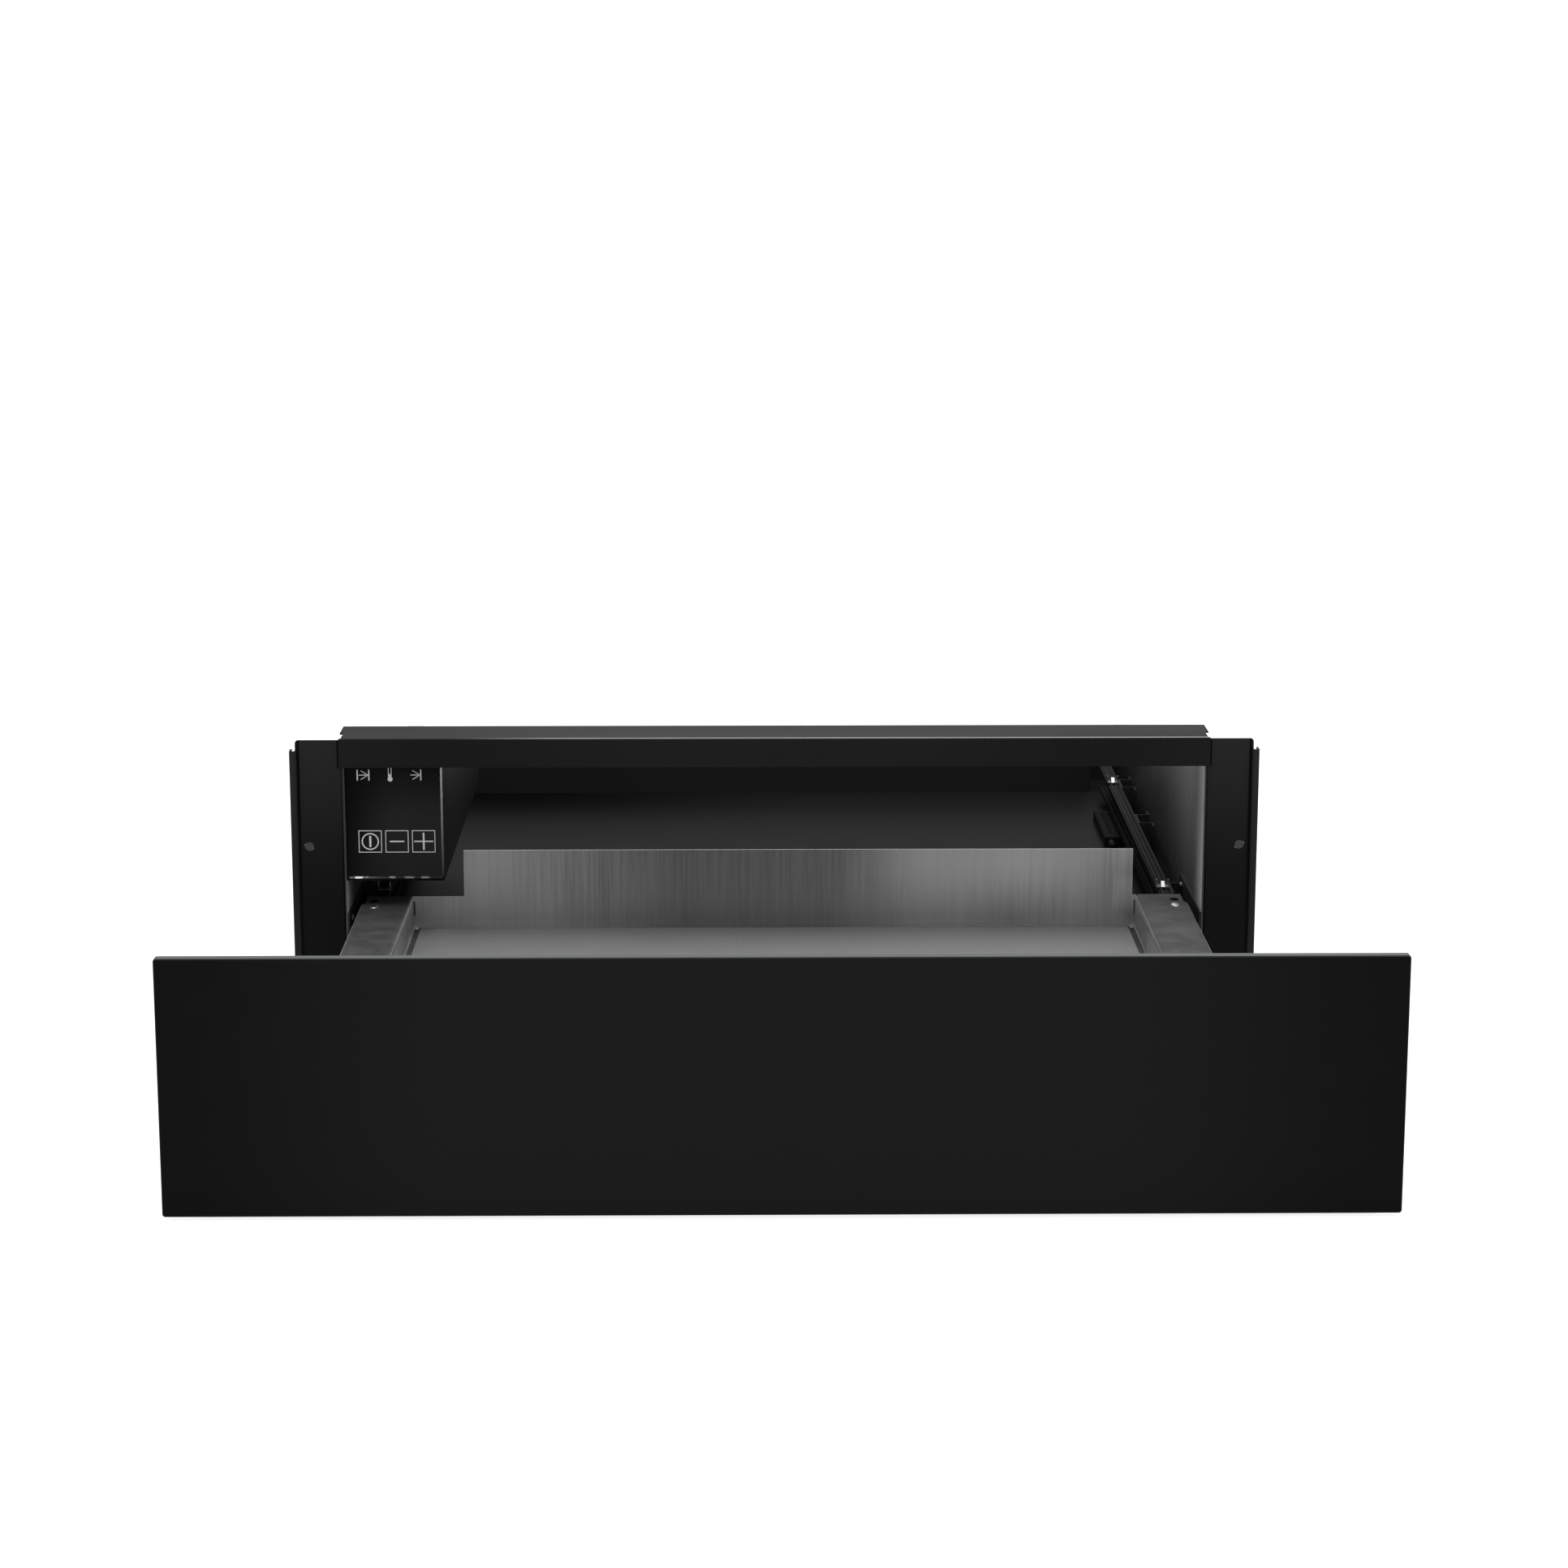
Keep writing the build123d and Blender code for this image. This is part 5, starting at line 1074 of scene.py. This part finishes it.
class DRAWER_OT_latch(DrawerOperator, bpy.types.Operator):
    """Push-to-open latch in the floor"""

    bl_idname = "drawer.latch"
    bl_label = "Latch"

    def execute(self, context):
        dress(["latch_body"], plastic("latch_plastic", grey(0.006), rough=0.55, shine=0.015))
        dress(["latch_plunger"], plastic("plunger_plastic", grey(0.006), rough=0.45, shine=0.03))
        wire = steel("spring_wire", grey(0.6), rough=0.25, along="Y")
        dress(["latch_spring"], wire)
        low, high = span("latch_spring")
        middle = (low + high) / 2
        thick = self.sizes.spring_wire / MM / 2
        steps = STEPS_PER_TURN * SPRING_TURNS
        bm = bmesh.new()
        start = tube(bm, (high.x - thick, low.y + thick, middle.z), Matrix(), thick, WIRE_SIDES)
        rise = (high.y - low.y - 2 * thick) / steps
        swing(bm, start, middle, (0, 1, 0), -math.tau * SPRING_TURNS, steps, (0, rise, 0))
        close_ends(bm)
        link(bm, "spring_coil", "plunger", wire, True, ["latch_spring"])
        return {"FINISHED"}


# ---------------------------------------------------------------- fasteners
# Millimetres
SHEET = 1.0
INNER_SCREWS = ((1, 60.5), (-1, -14.3))     # side and depth of the screws seen in the mouth
INNER_SCREW_TOP = 28.4
INNER_SCREW_SHARE = 0.8
COVER_SCREWS, COVER_INSET = (-205.0, -70.0, 70.0, 205.0), 10.0
PANEL_SCREWS, PANEL_DROP = (-150.0, 0.0, 150.0), 9.0
BRACKET_INSET, BRACKET_LEVEL = 12.0, 16.0
CAP_PLACE, CAP_LEVEL = 281.4, 73.5
CAP_DEPTHS = (2.1, 1.45)                    # its back and its face, behind the bar's front
CAP_RADII, CAP_SIDES = (2.96, 2.7), 40


class DRAWER_OT_fasteners(DrawerOperator, bpy.types.Operator):
    """Caps in the flanges and the small screws of the body"""

    bl_idname = "drawer.fasteners"
    bl_label = "Fasteners"

    def execute(self, context):
        self.body_screws()
        self.fixing_caps()
        return {"FINISHED"}

    def body_screws(self):
        radius = self.sizes.screw_radius / MM
        heads = bmesh.new()
        wall = span("side_wall_right")[0].x
        for way, y in INNER_SCREWS:
            place = (way * (wall - SHEET), y, INNER_SCREW_TOP - radius)
            screw(heads, place, (-way, 0, 0), radius * INNER_SCREW_SHARE)
        high = span("duct_cover")[1]
        for x in COVER_SCREWS:
            screw(heads, (x, high.y - COVER_INSET, high.z), (0, 0, 1), radius)
        high = span("rear_panel")[1]
        for x in PANEL_SCREWS:
            screw(heads, (x, high.y, high.z - PANEL_DROP), (0, 1, 0), radius)
        for way in SIDES.values():
            for name in BRACKETS:
                low, high = span(f"{name}_right")
                for y in (low.y + BRACKET_INSET, high.y - BRACKET_INSET):
                    screw(heads, (way * (wall + SHEET), y, BRACKET_LEVEL), (way, 0, 0), radius)
        zinc = steel("small_screw_zinc", grey(0.09, -0.002), rough=0.38, along="Z")
        link(heads, "body_screws", "housing", zinc)

    def fixing_caps(self):
        front = span("top_bar")[0].y
        back, face = (front + depth for depth in CAP_DEPTHS)
        caps = bmesh.new()
        for way in SIDES.values():
            x = way * CAP_PLACE
            rod(caps, (x, back, CAP_LEVEL), (x, face, CAP_LEVEL), *CAP_RADII, CAP_SIDES)
        cap = plastic("cap_grey", grey(0.036, 0.001), rough=0.5)
        link(caps, "fixing_caps", "housing", cap)


# ---------------------------------------------------------------- studio
FLOOR_SIZE = 30.0
FLOOR_GREYS = (0.4, 0.43)
FLOOR_CLOUD = 0.5
FLOOR_GLOW = 0.82
SKY_FADE, SKY_RISE, SKY_BASE, SKY_SEEN = (0.0, 0.8), 0.85, 0.3, 2.0

# Name, place, aim, watts, width and length of the soft lamps
LAMPS = (
    ("top_box", (0.0, -0.35, 2.4), (0.0, -0.3, 0.0), 14.0, 2.2, 1.4),
    ("edge_strip", (0.3, 0.1, 1.3), (0.1, -0.03, 0.1), 9.0, 0.9, 0.06),
)

# The camera fitted to the photo: 4381.5 pixels of focal length in a picture 1932 pixels wide
SENSOR_WIDTH = 36.0
FOCAL_PIXELS, PICTURE_PIXELS = 4381.5, 1932
CAMERA_PLACE = (-0.0171, -2.1263, 0.5656)
CAMERA_YAW, CAMERA_PITCH = math.radians(0.617), math.radians(12.224)
CLIP_START, CLIP_END = 0.05, 100.0


class DRAWER_OT_stage(DrawerOperator, bpy.types.Operator):
    """Pale floor, soft studio light and the camera"""

    bl_idname = "drawer.stage"
    bl_label = "Studio"

    def execute(self, context):
        scene = context.scene
        self.lay_floor(scene)
        self.light_sky(scene)
        for lamp in LAMPS:
            self.hang_lamp(scene, *lamp)
        self.aim_camera(scene)
        scene.view_settings.view_transform = "Standard"
        return {"FINISHED"}

    def lay_floor(self, scene):
        bm = bmesh.new()
        bmesh.ops.create_grid(bm, x_segments=1, y_segments=1, size=FLOOR_SIZE)
        mesh = bpy.data.meshes.new("studio_floor")
        bm.to_mesh(mesh)
        bm.free()
        floor = bpy.data.objects.new("studio_floor", mesh)
        scene.collection.objects.link(floor)
        dark, light = FLOOR_GREYS
        f = Finish("studio_floor")
        f.set(
            Base_Color=f.mix(f.noise(FLOOR_CLOUD), grey(dark), grey(light)),
            Roughness=0.9,
            Specular_IOR_Level=0.0,
            Emission_Color=WHITE,
            Emission_Strength=FLOOR_GLOW,
        )
        mesh.materials.append(f.material)

    def light_sky(self, scene):
        """White sky, brighter overhead and where the camera sees it."""
        world = bpy.data.worlds.new("studio")
        world.use_nodes = True
        sky = Graph(world.node_tree)
        z = sky.axes(sky.node("ShaderNodeTexCoord", out="Generated"))[2]
        seen = sky.node("ShaderNodeLightPath", out="Is Camera Ray")
        backdrop = sky.nodes["Background"]
        sky.put(backdrop.inputs["Color"], WHITE)
        glow = z.ramp(*SKY_FADE) * SKY_RISE + SKY_BASE + seen * SKY_SEEN
        sky.put(backdrop.inputs["Strength"], glow)
        scene.world = world

    def hang_lamp(self, scene, name, place, target, power, width, length):
        light = bpy.data.lights.new(name, "AREA")
        light.shape = "RECTANGLE"
        light.size = width
        light.size_y = length
        light.energy = power
        made = bpy.data.objects.new(name, light)
        made.location = place
        ahead = Vector(target) - Vector(place)
        made.rotation_euler = ahead.to_track_quat("-Z", "Y").to_euler()
        scene.collection.objects.link(made)

    def aim_camera(self, scene):
        lens = bpy.data.cameras.new("camera")
        lens.sensor_width = SENSOR_WIDTH
        lens.lens = FOCAL_PIXELS / PICTURE_PIXELS * SENSOR_WIDTH
        lens.clip_start = CLIP_START
        lens.clip_end = CLIP_END
        camera = bpy.data.objects.new("camera", lens)
        level = math.cos(CAMERA_PITCH)
        ahead = Vector((
            math.sin(CAMERA_YAW) * level, math.cos(CAMERA_YAW) * level, -math.sin(CAMERA_PITCH),
        ))
        camera.location = CAMERA_PLACE
        camera.rotation_euler = ahead.to_track_quat("-Z", "Y").to_euler()
        scene.collection.objects.link(camera)
        scene.camera = camera


class DRAWER_PT_panel(bpy.types.Panel):
    """Finish of the warming drawer"""

    bl_idname = "DRAWER_PT_panel"
    bl_label = "Warming Drawer"
    bl_space_type = "VIEW_3D"
    bl_region_type = "UI"
    bl_category = "Warming Drawer"

    def draw(self, context):
        layout = self.layout
        for group in (context.scene.drawer_finishes, context.scene.drawer_sizes):
            box = layout.box()
            for key in group.bl_rna.properties.keys():
                if key not in ("rna_type", "name"):
                    box.prop(group, key)
        for operator in STEPS:
            layout.operator(operator.bl_idname)


STEPS = (
    DRAWER_OT_front,
    DRAWER_OT_tray,
    DRAWER_OT_body,
    DRAWER_OT_slides,
    DRAWER_OT_controls,
    DRAWER_OT_warmth,
    DRAWER_OT_latch,
    DRAWER_OT_fasteners,
    DRAWER_OT_stage,
)
CLASSES = (DrawerFinishes, DrawerSizes, *STEPS, DRAWER_PT_panel)


def register():
    for item in CLASSES:
        bpy.utils.register_class(item)
    bpy.types.Scene.drawer_finishes = bpy.props.PointerProperty(type=DrawerFinishes)
    bpy.types.Scene.drawer_sizes = bpy.props.PointerProperty(type=DrawerSizes)


def unregister():
    del bpy.types.Scene.drawer_sizes
    del bpy.types.Scene.drawer_finishes
    for item in reversed(CLASSES):
        bpy.utils.unregister_class(item)


def main():
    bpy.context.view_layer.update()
    register()
    for step in STEPS:
        group, name = step.bl_idname.split(".")
        result = getattr(getattr(bpy.ops, group), name)()
        if result != {"FINISHED"}:
            raise RuntimeError(f"{step.bl_idname} didn't finish")


if __name__ == "__main__":
    main()
